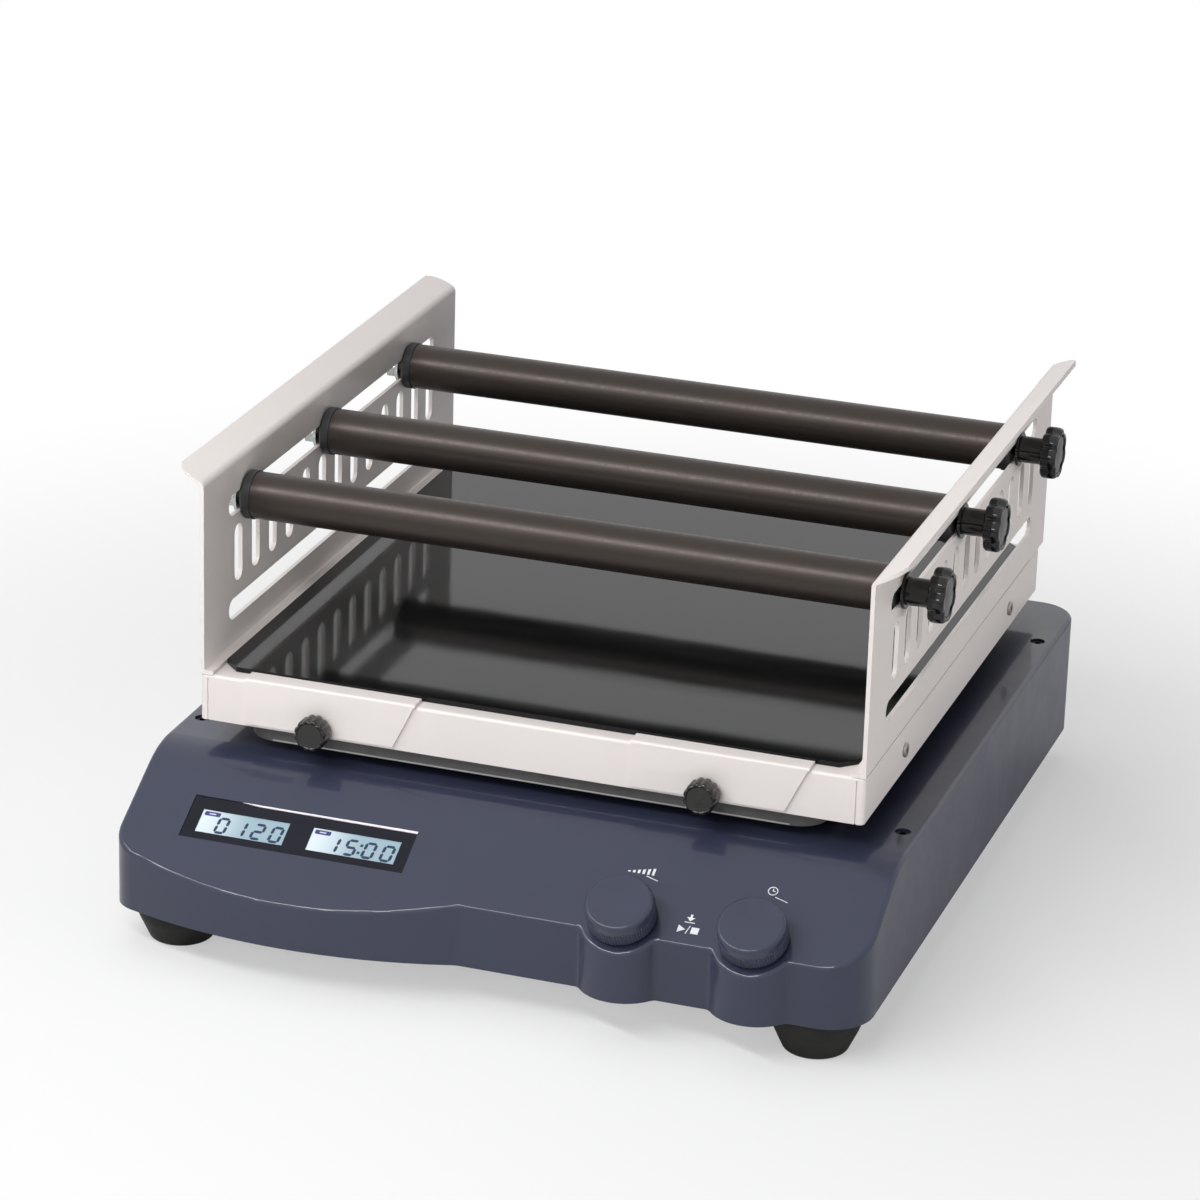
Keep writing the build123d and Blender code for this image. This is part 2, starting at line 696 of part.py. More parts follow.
feet = []
foot_screws = []
for x in (-FOOT_X, FOOT_X):
    for y in (FOOT_FRONT_Y, FOOT_REAR_Y):
        feet.append(rubber_foot(x, y))
        shank = rod_z(x, y, FOOT_SCREW_R, foot_web_z, PLATE_TOP + FOOT_SCREW_GRIP)
        head = rod_z(x, y, FOOT_SCREW_HEAD_R, foot_web_z - FOOT_SCREW_HEAD_H, foot_web_z)
        socket = hexagon_z(
            x, y, HEX_SOCKET_AF, foot_web_z - FOOT_SCREW_HEAD_H, foot_web_z - FOOT_SCREW_HEAD_H / 3
        )
        foot_screws.append(head + shank - socket)
keep("rubber_feet", *feet)
keep("foot_screws", *foot_screws)

deck_screws = []
for x in (-DECK_SCREW_X, DECK_SCREW_X):
    for y in (DECK_SCREW_FRONT_Y, DECK_SCREW_REAR_Y):
        floor = DECK - DECK_RECESS_DEPTH
        head = rod_z(x, y, DECK_SCREW_HEAD_R, floor, floor + DECK_SCREW_HEAD_H)
        shank = rod_z(x, y, DECK_SCREW_R, floor - DECK_SCREW_LEN, floor)
        top = floor + DECK_SCREW_HEAD_H
        socket = hexagon_z(x, y, HEX_SOCKET_AF, top - HEX_SOCKET_DEPTH, top)
        deck_screws.append(head + shank - socket)
keep("deck_screws", *deck_screws)

# Main bearings, crank, counterweight and pulley

upper_z = DECK_UNDER - MAIN_BEARING_B
spacer_z = upper_z - BEARING_SPACER
lower_z = spacer_z - MAIN_BEARING_B
spacer_in = MAIN_BEARING_OD / 2 - HUB_WALL / 2
keep(
    "main_bearings",
    bearing_z(0, DRIVE_Y, MAIN_BEARING_OD, MAIN_BEARING_ID, upper_z, MAIN_BEARING_B),
    ring_z(0, DRIVE_Y, MAIN_BEARING_OD / 2, spacer_in, spacer_z, upper_z),
    bearing_z(0, DRIVE_Y, MAIN_BEARING_OD, MAIN_BEARING_ID, lower_z, MAIN_BEARING_B),
)

shaft_r = MAIN_BEARING_ID / 2 - RUN_GAP
pulley_z = PLATE_TOP + PULLEY_RISE
pin_bearing_z = CRANK_TOP + HUB_LIP + BEARING_SEAT
pin_top = pin_bearing_z + PIN_BEARING_B + PIN_OVERRUN
crank = rod_z(0, DRIVE_Y, shaft_r, pulley_z - SHAFT_TAIL, CRANK_BASE)
crank = crank + rod_z(0, DRIVE_Y, SHAFT_COLLAR_R, DECK_UNDER + AXIAL_GAP, CRANK_BASE)
crank = crank + rod_z(0, DRIVE_Y, CRANK_DISC_R, CRANK_BASE, CRANK_TOP)
pin = rod_z(0, 0, PIN_R - RUN_GAP, CRANK_TOP, pin_top)
pin = chamfer(pin.edges().sort_by(Axis.Z)[-1], PIN_R / 8)
pin_collar = rod_z(0, 0, PIN_R + HUB_LIP, CRANK_TOP, pin_bearing_z - AXIAL_GAP)
crank = crank + pin + pin_collar
keep("main_crank", crank)

# Counterweight: a half disc opposite the pin, on a neck round the crank's disc.
weight_flat = Pos(0, DRIVE_Y) * Circle(WEIGHT_R) - Pos(0, DRIVE_Y + WEIGHT_R) * Rectangle(
    2 * WEIGHT_R, 2 * WEIGHT_R
)
neck_top = DRIVE_Y + CRANK_DISC_R + HUB_WALL
weight_flat = weight_flat + Pos(0, (DRIVE_Y + neck_top) / 2) * Rectangle(
    WEIGHT_NECK_W, neck_top - DRIVE_Y
)
weight_flat = weight_flat - Pos(0, DRIVE_Y) * Circle(CRANK_DISC_R)
for x in (-WEIGHT_NECK_W / 2, WEIGHT_NECK_W / 2):
    weight_flat = corner_fillet(weight_flat, x, neck_top, HUB_WALL)
keep("counterweight", Pos(0, 0, CRANK_BASE) * extrude(weight_flat, CRANK_DISC_H))


def belt_pulley(x, y, r, flange_r, bore):
    """Flat belt pulley with a flange on each side."""
    body = ring_z(x, y, r, bore, pulley_z, pulley_z + PULLEY_W)
    low = ring_z(x, y, flange_r, bore, pulley_z, pulley_z + PULLEY_FLANGE_T)
    high_z = pulley_z + PULLEY_W - PULLEY_FLANGE_T
    high = ring_z(x, y, flange_r, bore, high_z, pulley_z + PULLEY_W)
    return body + low + high


driven = belt_pulley(0, DRIVE_Y, PULLEY_R, PULLEY_FLANGE_R, shaft_r)
dish = (PULLEY_W - PULLEY_WEB_T) / 2
for z0, z1 in (
    (pulley_z - 1, pulley_z + dish),
    (pulley_z + PULLEY_W - dish, pulley_z + PULLEY_W + 1),
):
    driven = driven - ring_z(0, DRIVE_Y, PULLEY_R - PULLEY_RIM_T, PULLEY_HUB_R, z0, z1)
hole_at = (PULLEY_R - PULLEY_RIM_T + PULLEY_HUB_R) / 2
for spot in PolarLocations(hole_at, PULLEY_HOLES):
    hole = Cylinder(PULLEY_HOLE_R, 4 * PULLEY_W)
    driven = driven - Pos(0, DRIVE_Y, pulley_z) * spot * hole
keep("driven_pulley", driven)

# Motor, its pulley and the belt

motor_flange_z = DECK_UNDER - MOTOR_FLANGE_T
motor = rounded_block(
    MOTOR_X - MOTOR_FLANGE / 2,
    MOTOR_X + MOTOR_FLANGE / 2,
    MOTOR_Y - MOTOR_FLANGE / 2,
    MOTOR_Y + MOTOR_FLANGE / 2,
    motor_flange_z,
    DECK_UNDER,
    MOTOR_CORNER_R,
)
motor_low = motor_flange_z - MOTOR_LEN
motor = motor + rod_z(MOTOR_X, MOTOR_Y, MOTOR_R, motor_low, motor_flange_z)
motor = motor + rod_z(MOTOR_X, MOTOR_Y, MOTOR_NECK_R, motor_low - MOTOR_NECK_H, motor_low)
shaft_pocket_z = motor_low + MOTOR_LEN / 2
motor = motor - rod_z(
    MOTOR_X, MOTOR_Y, MOTOR_SHAFT_R + RUN_GAP, motor_low - MOTOR_NECK_H - 1, shaft_pocket_z
)
motor_screws = []
for dx in (-MOTOR_SCREW_PITCH / 2, MOTOR_SCREW_PITCH / 2):
    for dy in (-MOTOR_SCREW_PITCH / 2, MOTOR_SCREW_PITCH / 2):
        x = MOTOR_X + dx
        y = MOTOR_Y + dy
        motor = motor - rod_z(x, y, MOTOR_SCREW_R, motor_flange_z - 1, DECK_UNDER + 1)
        shank = rod_z(x, y, MOTOR_SCREW_R, motor_flange_z, DECK_UNDER + MOTOR_SCREW_BITE)
        head_low = motor_flange_z - MOTOR_SCREW_HEAD_H
        head = rod_z(x, y, MOTOR_SCREW_HEAD_R, head_low, motor_flange_z)
        socket = hexagon_z(x, y, HEX_SOCKET_AF, head_low, head_low + MOTOR_SCREW_HEAD_H / 2)
        motor_screws.append(head + shank - socket)
keep("motor", motor)
keep("motor_screws", *motor_screws)

motor_pulley = belt_pulley(
    MOTOR_X, MOTOR_Y, MOTOR_PULLEY_R, MOTOR_PULLEY_FLANGE_R, MOTOR_SHAFT_R
)
motor_shaft = rod_z(MOTOR_X, MOTOR_Y, MOTOR_SHAFT_R, pulley_z - SHAFT_TAIL, shaft_pocket_z - AXIAL_GAP)
keep("motor_pulley", motor_pulley, motor_shaft)


def belt_loop(extra):
    """Face inside the belt's line round both pulleys, widened by extra."""
    r1 = PULLEY_R + extra
    r2 = MOTOR_PULLEY_R + extra
    dx = MOTOR_X
    dy = MOTOR_Y - DRIVE_Y
    dist = math.hypot(dx, dy)
    along = math.atan2(dy, dx)
    lean = math.acos((r1 - r2) / dist)
    points = []
    for sign in (1, -1):
        a = along + sign * lean
        points.append((r1 * math.cos(a), DRIVE_Y + r1 * math.sin(a)))
    for sign in (-1, 1):
        a = along + sign * lean
        points.append((MOTOR_X + r2 * math.cos(a), MOTOR_Y + r2 * math.sin(a)))
    web = Polygon(*points, align=None)
    return web + Pos(0, DRIVE_Y) * Circle(r1) + Pos(MOTOR_X, MOTOR_Y) * Circle(r2)


belt_flat = belt_loop(BELT_GAP + BELT_T) - belt_loop(BELT_GAP)
belt_z = pulley_z + PULLEY_FLANGE_T + BELT_SIDE_GAP
belt_w = PULLEY_W - 2 * PULLEY_FLANGE_T - 2 * BELT_SIDE_GAP
keep("drive_belt", Pos(0, 0, belt_z) * extrude(belt_flat, belt_w))

# Idler cranks

idler_bearings = []
for x, y in idler_points:
    low = DECK - IDLER_BOSS_H
    top_z = DECK - IDLER_BEARING_B
    idler_bearings.append(
        bearing_z(x, y, IDLER_BEARING_OD, IDLER_BEARING_ID, top_z, IDLER_BEARING_B)
    )
    idler_bearings.append(bearing_z(x, y, IDLER_BEARING_OD, IDLER_BEARING_ID, low, IDLER_BEARING_B))
keep("idler_bearings", *idler_bearings)

idler_r = IDLER_BEARING_ID / 2 - RUN_GAP
idler_top = CRANK_BASE + IDLER_DISC_H
idler_bearing_z = idler_top + IDLER_COLLAR_H + AXIAL_GAP
idler_pin_top = idler_bearing_z + IDLER_BEARING_B + PIN_OVERRUN


def idler_crank(x, y):
    """Small crank: a shaft in the deck and a pin offset by the orbit's radius."""
    shaft = rod_z(x, y, idler_r, DECK - IDLER_BOSS_H - SHAFT_TAIL, CRANK_BASE)
    seat = rod_z(x, y, IDLER_COLLAR_R, DECK + AXIAL_GAP, CRANK_BASE)
    disc = rod_z(x, y, IDLER_DISC_R, CRANK_BASE, idler_top)
    disc = chamfer(disc.edges(), AXIAL_GAP * 5)
    collar = rod_z(x, y + ECCENTRIC, IDLER_COLLAR_R, idler_top, idler_bearing_z - AXIAL_GAP)
    upper = rod_z(x, y + ECCENTRIC, idler_r, idler_top, idler_pin_top)
    return shaft + seat + disc + collar + upper


side_names = ("front_left", "rear_left", "front_right", "rear_right")
for (x, y), side in zip(idler_points, side_names):
    keep(f"idler_crank_{side}", idler_crank(x, y))

# Carriage

skirt_in_w = CARRIAGE_W - 2 * CARRIAGE_SKIRT_T
skirt_in_d = CARRIAGE_D - 2 * CARRIAGE_SKIRT_T
inner_corner = CARRIAGE_CORNER_R - CARRIAGE_SKIRT_T
carriage = rounded_block(
    -CARRIAGE_W / 2,
    CARRIAGE_W / 2,
    -CARRIAGE_D / 2,
    CARRIAGE_D / 2,
    CARRIAGE_BOTTOM,
    TRAY_UNDER,
    CARRIAGE_CORNER_R,
)
carriage = carriage - rounded_block(
    -skirt_in_w / 2,
    skirt_in_w / 2,
    -skirt_in_d / 2,
    skirt_in_d / 2,
    CARRIAGE_BOTTOM - 1,
    CARRIAGE_UNDER,
    inner_corner,
)
rib_low = CARRIAGE_UNDER - RIB_H
rib_up = CARRIAGE_UNDER + 1
half_rib = RIB_T / 2
reach_x = CARRIAGE_W / 2 - 1
reach_y = CARRIAGE_D / 2 - 1
carriage = carriage + block(-reach_x, reach_x, -half_rib, half_rib, rib_low, rib_up)
carriage = carriage + block(-half_rib, half_rib, -reach_y, reach_y, rib_low, rib_up)
for x in (-IDLER_X, IDLER_X):
    carriage = carriage + block(x - half_rib, x + half_rib, -reach_y, reach_y, rib_low, rib_up)
for y in (-IDLER_DY, IDLER_DY):
    carriage = carriage + block(-reach_x, reach_x, y - half_rib, y + half_rib, rib_low, rib_up)
hub_low = pin_bearing_z - BEARING_SEAT
carriage = carriage + rod_z(0, 0, CARRIAGE_HUB_R, hub_low, rib_up)
boss_low = idler_bearing_z - BEARING_SEAT
pin_points = []
for x, y in idler_points:
    pin_points.append((x, y + ECCENTRIC))
    carriage = carriage + rod_z(x, y + ECCENTRIC, CARRIAGE_BOSS_R, boss_low, rib_up)
thumb_z = TRAY_TOP - THUMB_DROP
thumb_xs = [x + THUMB_ACROSS for x in CLAMP_XS]
front_in = -skirt_in_d / 2
for x in thumb_xs:
    carriage = carriage + block(
        x - THREAD_BLOCK / 2,
        x + THREAD_BLOCK / 2,
        front_in - 1,
        front_in + THREAD_BLOCK_DEPTH,
        thumb_z - THREAD_BLOCK / 2,
        rib_up,
    )
carriage = carriage - rod_z(0, 0, PIN_BEARING_OD / 2, hub_low - 1, pin_bearing_z + PIN_BEARING_B)
carriage = carriage - rod_z(0, 0, RELIEF_R, hub_low, pin_top + 1)
for x, y in pin_points:
    top = idler_bearing_z + IDLER_BEARING_B
    carriage = carriage - rod_z(x, y, IDLER_BEARING_OD / 2, boss_low - 1, top)
    carriage = carriage - rod_z(x, y, RELIEF_R, boss_low, idler_pin_top + 1)
for x in thumb_xs:
    tail_y = front_in + THREAD_BLOCK_DEPTH + 1
    carriage = carriage - rod_y(x, thumb_z, THUMB_SHANK_R + RUN_GAP, -CARRIAGE_D / 2 - 1, tail_y)
low_edges = carriage.edges().filter_by(lambda e: abs((e @ 0.5).Z - CARRIAGE_BOTTOM) < 0.01)
low_edges = low_edges.filter_by(lambda e: abs(e.bounding_box().size.Z) < 0.01)
carriage = chamfer(low_edges, CARRIAGE_SKIRT_T / 5)
keep("carriage", carriage)

carriage_bearings = [
    bearing_z(0, 0, PIN_BEARING_OD, 2 * PIN_R, pin_bearing_z, PIN_BEARING_B)
]
for x, y in pin_points:
    carriage_bearings.append(
        bearing_z(x, y, IDLER_BEARING_OD, IDLER_BEARING_ID, idler_bearing_z, IDLER_BEARING_B)
    )
keep("carriage_bearings", *carriage_bearings)

# Tray and mat

tray = rounded_block(-HALF_W, HALF_W, FRONT_Y, -FRONT_Y, LIP_BOTTOM, TRAY_TOP, TRAY_CORNER_R)
top_rim = tray.edges().filter_by(lambda e: abs((e @ 0.5).Z - TRAY_TOP) < 0.01)
tray = fillet(top_rim, TRAY_TOP_R)
lip_in = TRAY_D / 2 - TRAY_T
tray = tray - rounded_block(
    -HALF_W + TRAY_T,
    HALF_W - TRAY_T,
    -lip_in,
    lip_in,
    LIP_BOTTOM - 1,
    TRAY_UNDER,
    TRAY_CORNER_R - TRAY_T,
)
tab_x1 = HALF_W - TRAY_T
tab_x0 = tab_x1 - PANEL_T
screw_z = TRAY_TOP - PANEL_SCREW_DROP
for side in (-1, 1):
    for y in TAB_YS:
        xs = sorted((side * (tab_x0 - TAB_GAP), side * tab_x1))
        tray = tray - block(
            xs[0],
            xs[1],
            y - TAB_W / 2 - TAB_GAP,
            y + TAB_W / 2 + TAB_GAP,
            TRAY_UNDER - 1,
            TRAY_TOP + 1,
        )
        ends = sorted((side * (tab_x1 - 1), side * (HALF_W + 1)))
        tray = tray - rod_x(y, screw_z, PANEL_SCREW_R, ends[0], ends[1])
for x in thumb_xs:
    tray = tray - rod_y(x, thumb_z, THUMB_HOLE_R, FRONT_Y - 1, -lip_in + 1)
seam_x = HALF_W - SEAM_FROM_CORNER
for side in (-1, 1):
    x = side * seam_x
    tray = tray - block(
        x - SEAM_W / 2,
        x + SEAM_W / 2,
        FRONT_Y - 1,
        FRONT_Y + SEAM_DEPTH,
        LIP_BOTTOM - 1,
        TRAY_TOP - TRAY_TOP_R,
    )
keep("tray", tray)

mat_flat = Pos(0, (MAT_FRONT_Y + MAT_REAR_Y) / 2) * Rectangle(MAT_W, MAT_REAR_Y - MAT_FRONT_Y)
mat_flat = chamfer(mat_flat.vertices(), MAT_CHAMFER)
mat = Pos(0, 0, TRAY_TOP) * extrude(mat_flat, MAT_T)
keep("tray_mat", mat)

# Side panels


def side_panel():
    """Right-hand panel: foot flange, slotted wall, flared top and two tabs."""
    flare = math.radians(FLARE_DEG)
    fold = TRAY_TOP + PANEL_H
    tip_x = HALF_W + FLARE_L * math.cos(flare)
    tip_z = fold + FLARE_L * math.sin(flare)
    up_x = tip_x - PANEL_T * math.sin(flare)
    up_z = tip_z + PANEL_T * math.cos(flare)
    inner_z = fold + PANEL_T / math.cos(flare) - PANEL_T * math.tan(flare)
    section = Polygon(
        (HALF_W, TRAY_TOP),
        (HALF_W, fold),
        (tip_x, tip_z),
        (up_x, up_z),
        (PANEL_IN, inner_z),
        (PANEL_IN, TRAY_TOP + PANEL_T),
        (HALF_W - PANEL_FOOT_W, TRAY_TOP + PANEL_T),
        (HALF_W - PANEL_FOOT_W, TRAY_TOP),
        align=None,
    )
    section = corner_fillet(section, HALF_W, fold, BEND_R)
    section = corner_fillet(section, PANEL_IN, inner_z, BEND_R + PANEL_T)
    section = corner_fillet(section, PANEL_IN, TRAY_TOP + PANEL_T, BEND_R / 2)
    length = PANEL_REAR_Y - FRONT_Y
    panel = Pos(0, PANEL_REAR_Y, 0) * extrude(Plane.XZ * section, length)
    # Rounded corners of the flare, cut in plan.
    x0 = HALF_W - PANEL_FOOT_W - BEND_R
    plan = Pos((x0 + tip_x) / 2, (FRONT_Y + PANEL_REAR_Y) / 2) * Rectangle(tip_x - x0, length)
    plan = corner_fillet(plan, tip_x, FRONT_Y, FLARE_CORNER_R)
    plan = corner_fillet(plan, tip_x, PANEL_REAR_Y, FLARE_CORNER_R)
    panel = panel & Pos(0, 0, TRAY_TOP - 1) * extrude(plan, PANEL_H + FLARE_L)
    mid_y = (LONG_SLOT_FRONT_Y + LONG_SLOT_REAR_Y) / 2
    long_slot = SlotOverall(LONG_SLOT_REAR_Y - LONG_SLOT_FRONT_Y, SLOT_H)
    for rise in (UPPER_SLOT_RISE, LOWER_SLOT_RISE):
        cutter = extrude(Plane.YZ * (Pos(mid_y, TRAY_TOP + rise) * long_slot), 2 * PANEL_T, both=True)
        panel = panel - Pos(HALF_W, 0, 0) * cutter
    up_slot = Rot(0, 0, 90) * SlotOverall(UP_SLOT_LEN, UP_SLOT_W)
    for i in range(UP_SLOT_COUNT):
        y = UP_SLOT_FIRST_Y + i * UP_SLOT_PITCH
        cutter = extrude(Plane.YZ * (Pos(y, TRAY_TOP + UP_SLOT_RISE) * up_slot), 2 * PANEL_T, both=True)
        panel = panel - Pos(HALF_W, 0, 0) * cutter
    for y in TAB_YS:
        tab = block(tab_x0, tab_x1, y - TAB_W / 2, y + TAB_W / 2, TRAY_TOP - TAB_DROP, TRAY_TOP + 1)
        panel = panel + tab
        panel = panel - rod_x(y, screw_z, PANEL_SCREW_R, tab_x0 - 1, tab_x1 + 1)
    return panel


right_panel = side_panel()
left_panel = mirror(right_panel, Plane.YZ)
keep("side_panel_right", right_panel)
keep("side_panel_left", left_panel)

panel_screws = []
for side in (-1, 1):
    for y in TAB_YS:
        shank = rod_x(y, screw_z, PANEL_SCREW_R, tab_x0 - PANEL_SCREW_TAIL, HALF_W)
        head = rod_x(y, screw_z, PANEL_SCREW_HEAD_R, HALF_W, HALF_W + PANEL_SCREW_HEAD_H)
        head = fillet(head.edges().sort_by(Axis.X)[-1], PANEL_SCREW_HEAD_H / 2)
        screw = head + shank
        if side < 0:
            screw = mirror(screw, Plane.YZ)
        panel_screws.append(screw)
keep("panel_screws", *panel_screws)

# Clamp plates and thumb screws

clamp_top = TRAY_TOP + CLAMP_T
clamp_low = LIP_BOTTOM + CLAMP_LIFT


def clamp_plate(x0):
    """Plate over the front lip with a slanted right edge and a hook over the top."""
    face = Polygon(
        (x0, clamp_low),
        (x0 + CLAMP_W - CLAMP_SLANT, clamp_low),
        (x0 + CLAMP_W, clamp_top),
        (x0, clamp_top),
        align=None,
    )
    plate = Pos(0, FRONT_Y, 0) * extrude(Plane.XZ * face, CLAMP_T)
    plate = plate + block(x0, x0 + CLAMP_W, FRONT_Y - CLAMP_T, FRONT_Y + CLAMP_HOOK, TRAY_TOP, clamp_top)
    bend = plate.edges().filter_by(
        lambda e: abs((e @ 0.5).Z - clamp_top) < 0.01 and abs((e @ 0.5).Y - FRONT_Y + CLAMP_T) < 0.01
    )
    plate = fillet(bend, CLAMP_T * 0.9)
    hole = rod_y(x0 + THUMB_ACROSS, thumb_z, THUMB_HOLE_R, FRONT_Y - CLAMP_T - 1, FRONT_Y + 1)
    return plate - hole


keep("clamp_plate_left", clamp_plate(CLAMP_XS[0]))
keep("clamp_plate_right", clamp_plate(CLAMP_XS[1]))


def thumb_screw(x):
    """Fluted plastic head on a threaded shank that ends in the carriage."""
    back = FRONT_Y - CLAMP_T - AXIAL_GAP
    neck = back - THUMB_COLLAR_H
    front = neck - THUMB_H
    head = rod_y(x, thumb_z, THUMB_R, front, neck)
    head = fillet(head.edges().sort_by(Axis.Y)[0], THUMB_COLLAR_H)
    flutes = PolarLocations(THUMB_R + THUMB_FLUTE_R / 2, THUMB_FLUTES)
    for spot in flutes:
        cutter = Cylinder(THUMB_FLUTE_R, 4 * THUMB_H)
        head = head - Pos(x, front, thumb_z) * Rot(90, 0, 0) * spot * cutter
    collar = rod_y(x, thumb_z, THUMB_COLLAR_R, neck, back)
    tail = front_in + THREAD_BLOCK_DEPTH + THUMB_TAIL
    shank = rod_y(x, thumb_z, THUMB_SHANK_R, back, tail)
    return head + collar + shank


keep("thumb_screw_left", thumb_screw(thumb_xs[0]))
keep("thumb_screw_right", thumb_screw(thumb_xs[1]))

# Bars with caps, studs and star knobs

bar_end = PANEL_IN - AXIAL_GAP
tube_end = bar_end - CAP_T
bar_names = ("front", "middle", "rear")


def bar_cap(y):
    """Right-hand plug with a chamfered collar and a bore for the knob's stud."""
    collar = rod_x(y, BAR_Z, CAP_R, tube_end, bar_end)
    collar = chamfer(collar.edges().sort_by(Axis.X)[-1], CAP_CHAMFER)
    plug = rod_x(y, BAR_Z, BAR_BORE_R, tube_end - CAP_PLUG_L, tube_end)
    bore = rod_x(y, BAR_Z, STUD_R + RUN_GAP, tube_end - CAP_PLUG_L - 1, bar_end + 1)
    return collar + plug - bore


def left_fastener(y):
    """Stud with a washer and a cap nut outside the left panel, as one set of pieces."""
    out = -HALF_W - AXIAL_GAP
    stud = rod_x(y, BAR_Z, STUD_R, out - WASHER_T - NUT_H, -bar_end + STUD_IN)
    washer = rod_x(y, BAR_Z, WASHER_R, out - WASHER_T, out)
    washer = washer - rod_x(y, BAR_Z, STUD_R, out - WASHER_T - 1, out + 1)
    nut_x = out - WASHER_T - NUT_H
    flat = RegularPolygon(NUT_R, 6)
    nut = Pos(nut_x, y, BAR_Z) * extrude(Plane.YZ * flat, NUT_H)
    dome = Pos(nut_x, y, BAR_Z) * Sphere(DOME_R) & block(
        nut_x - DOME_R, nut_x + 1, y - DOME_R, y + DOME_R, BAR_Z - DOME_R, BAR_Z + DOME_R
    )
    nut = nut + dome - rod_x(y, BAR_Z, STUD_R, nut_x, out)
    return stud, washer, nut


def star_knob(y):
    """Star knob: washer, stem, lobed head with a dished face, and its stud."""
    x0 = HALF_W + AXIAL_GAP
    x1 = x0 + WASHER_T
    x2 = x1 + STAR_STEM_L
    washer = rod_x(y, BAR_Z, WASHER_R, x0, x1)
    stem = rod_x(y, BAR_Z, STAR_STEM_R, x1, x2)
    star = Circle(STAR_R)
    for spot in PolarLocations(STAR_SCALLOP_AT, STAR_LOBES):
        star = star - spot * Circle(STAR_SCALLOP_R)
    star = fillet(star.vertices(), STAR_EDGE_R)
    head = Pos(x2, y, BAR_Z) * extrude(Plane.YZ * star, STAR_H)
    head = fillet(head.faces().sort_by(Axis.X)[-1].edges(), STAR_RIM_R)
    head = fillet(head.faces().sort_by(Axis.X)[0].edges(), STAR_RIM_R)
    face_r = STAR_SCALLOP_AT - STAR_SCALLOP_R - STAR_EDGE_R
    dish = rod_x(y, BAR_Z, face_r - STAR_EDGE_R, x2 + STAR_H - STAR_EDGE_R / 2, x2 + STAR_H + 1)
    stud = rod_x(y, BAR_Z, STUD_R, bar_end - STAR_INSERT_L, x0)
    return washer + stem + head - dish + stud


for name, y in zip(bar_names, BAR_YS):
    tube = rod_x(y, BAR_Z, BAR_R, -tube_end, tube_end) - rod_x(
        y, BAR_Z, BAR_BORE_R, -tube_end - 1, tube_end + 1
    )
    keep(f"bar_{name}", tube)
    right_cap = bar_cap(y)
    left_cap = mirror(bar_cap(y), Plane.YZ)
    left_cap = left_cap + rod_x(
        y, BAR_Z, STUD_R + 1, -bar_end + STUD_IN, -tube_end + CAP_PLUG_L
    )
    left_cap = left_cap - rod_x(y, BAR_Z, STUD_R, -bar_end - 1, -bar_end + STUD_IN)
    keep(f"bar_{name}_caps", right_cap, left_cap)
    keep(f"bar_{name}_stud_set", *left_fastener(y))
    keep(f"star_knob_{name}", star_knob(y))

# Display

bezel_low = -WINDOW_RECESS
bezel = slope_block(WINDOW_X0, WINDOW_X1, WINDOW_S0, WINDOW_S1, bezel_low, bezel_low + BEZEL_T)
for x0 in LCD_X0S:
    bezel = bezel - slope_block(
        x0, x0 + LCD_W, LCD_S0, LCD_S0 + LCD_H, bezel_low - 1, bezel_low + BEZEL_T + 1
    )
keep("display_bezel", bezel)
lcd_top = bezel_low + BEZEL_T - LCD_SET
for name, x0 in zip(("speed_lcd", "time_lcd"), LCD_X0S):
    keep(name, slope_block(x0, x0 + LCD_W, LCD_S0, LCD_S0 + LCD_H, lcd_top - LCD_T, lcd_top))
board = slope_block(board_x0, board_x1, board_s0, board_s1, board_h - BOARD_T, board_h)
keep("display_board", board)

# Encoders, plungers, shafts and knobs

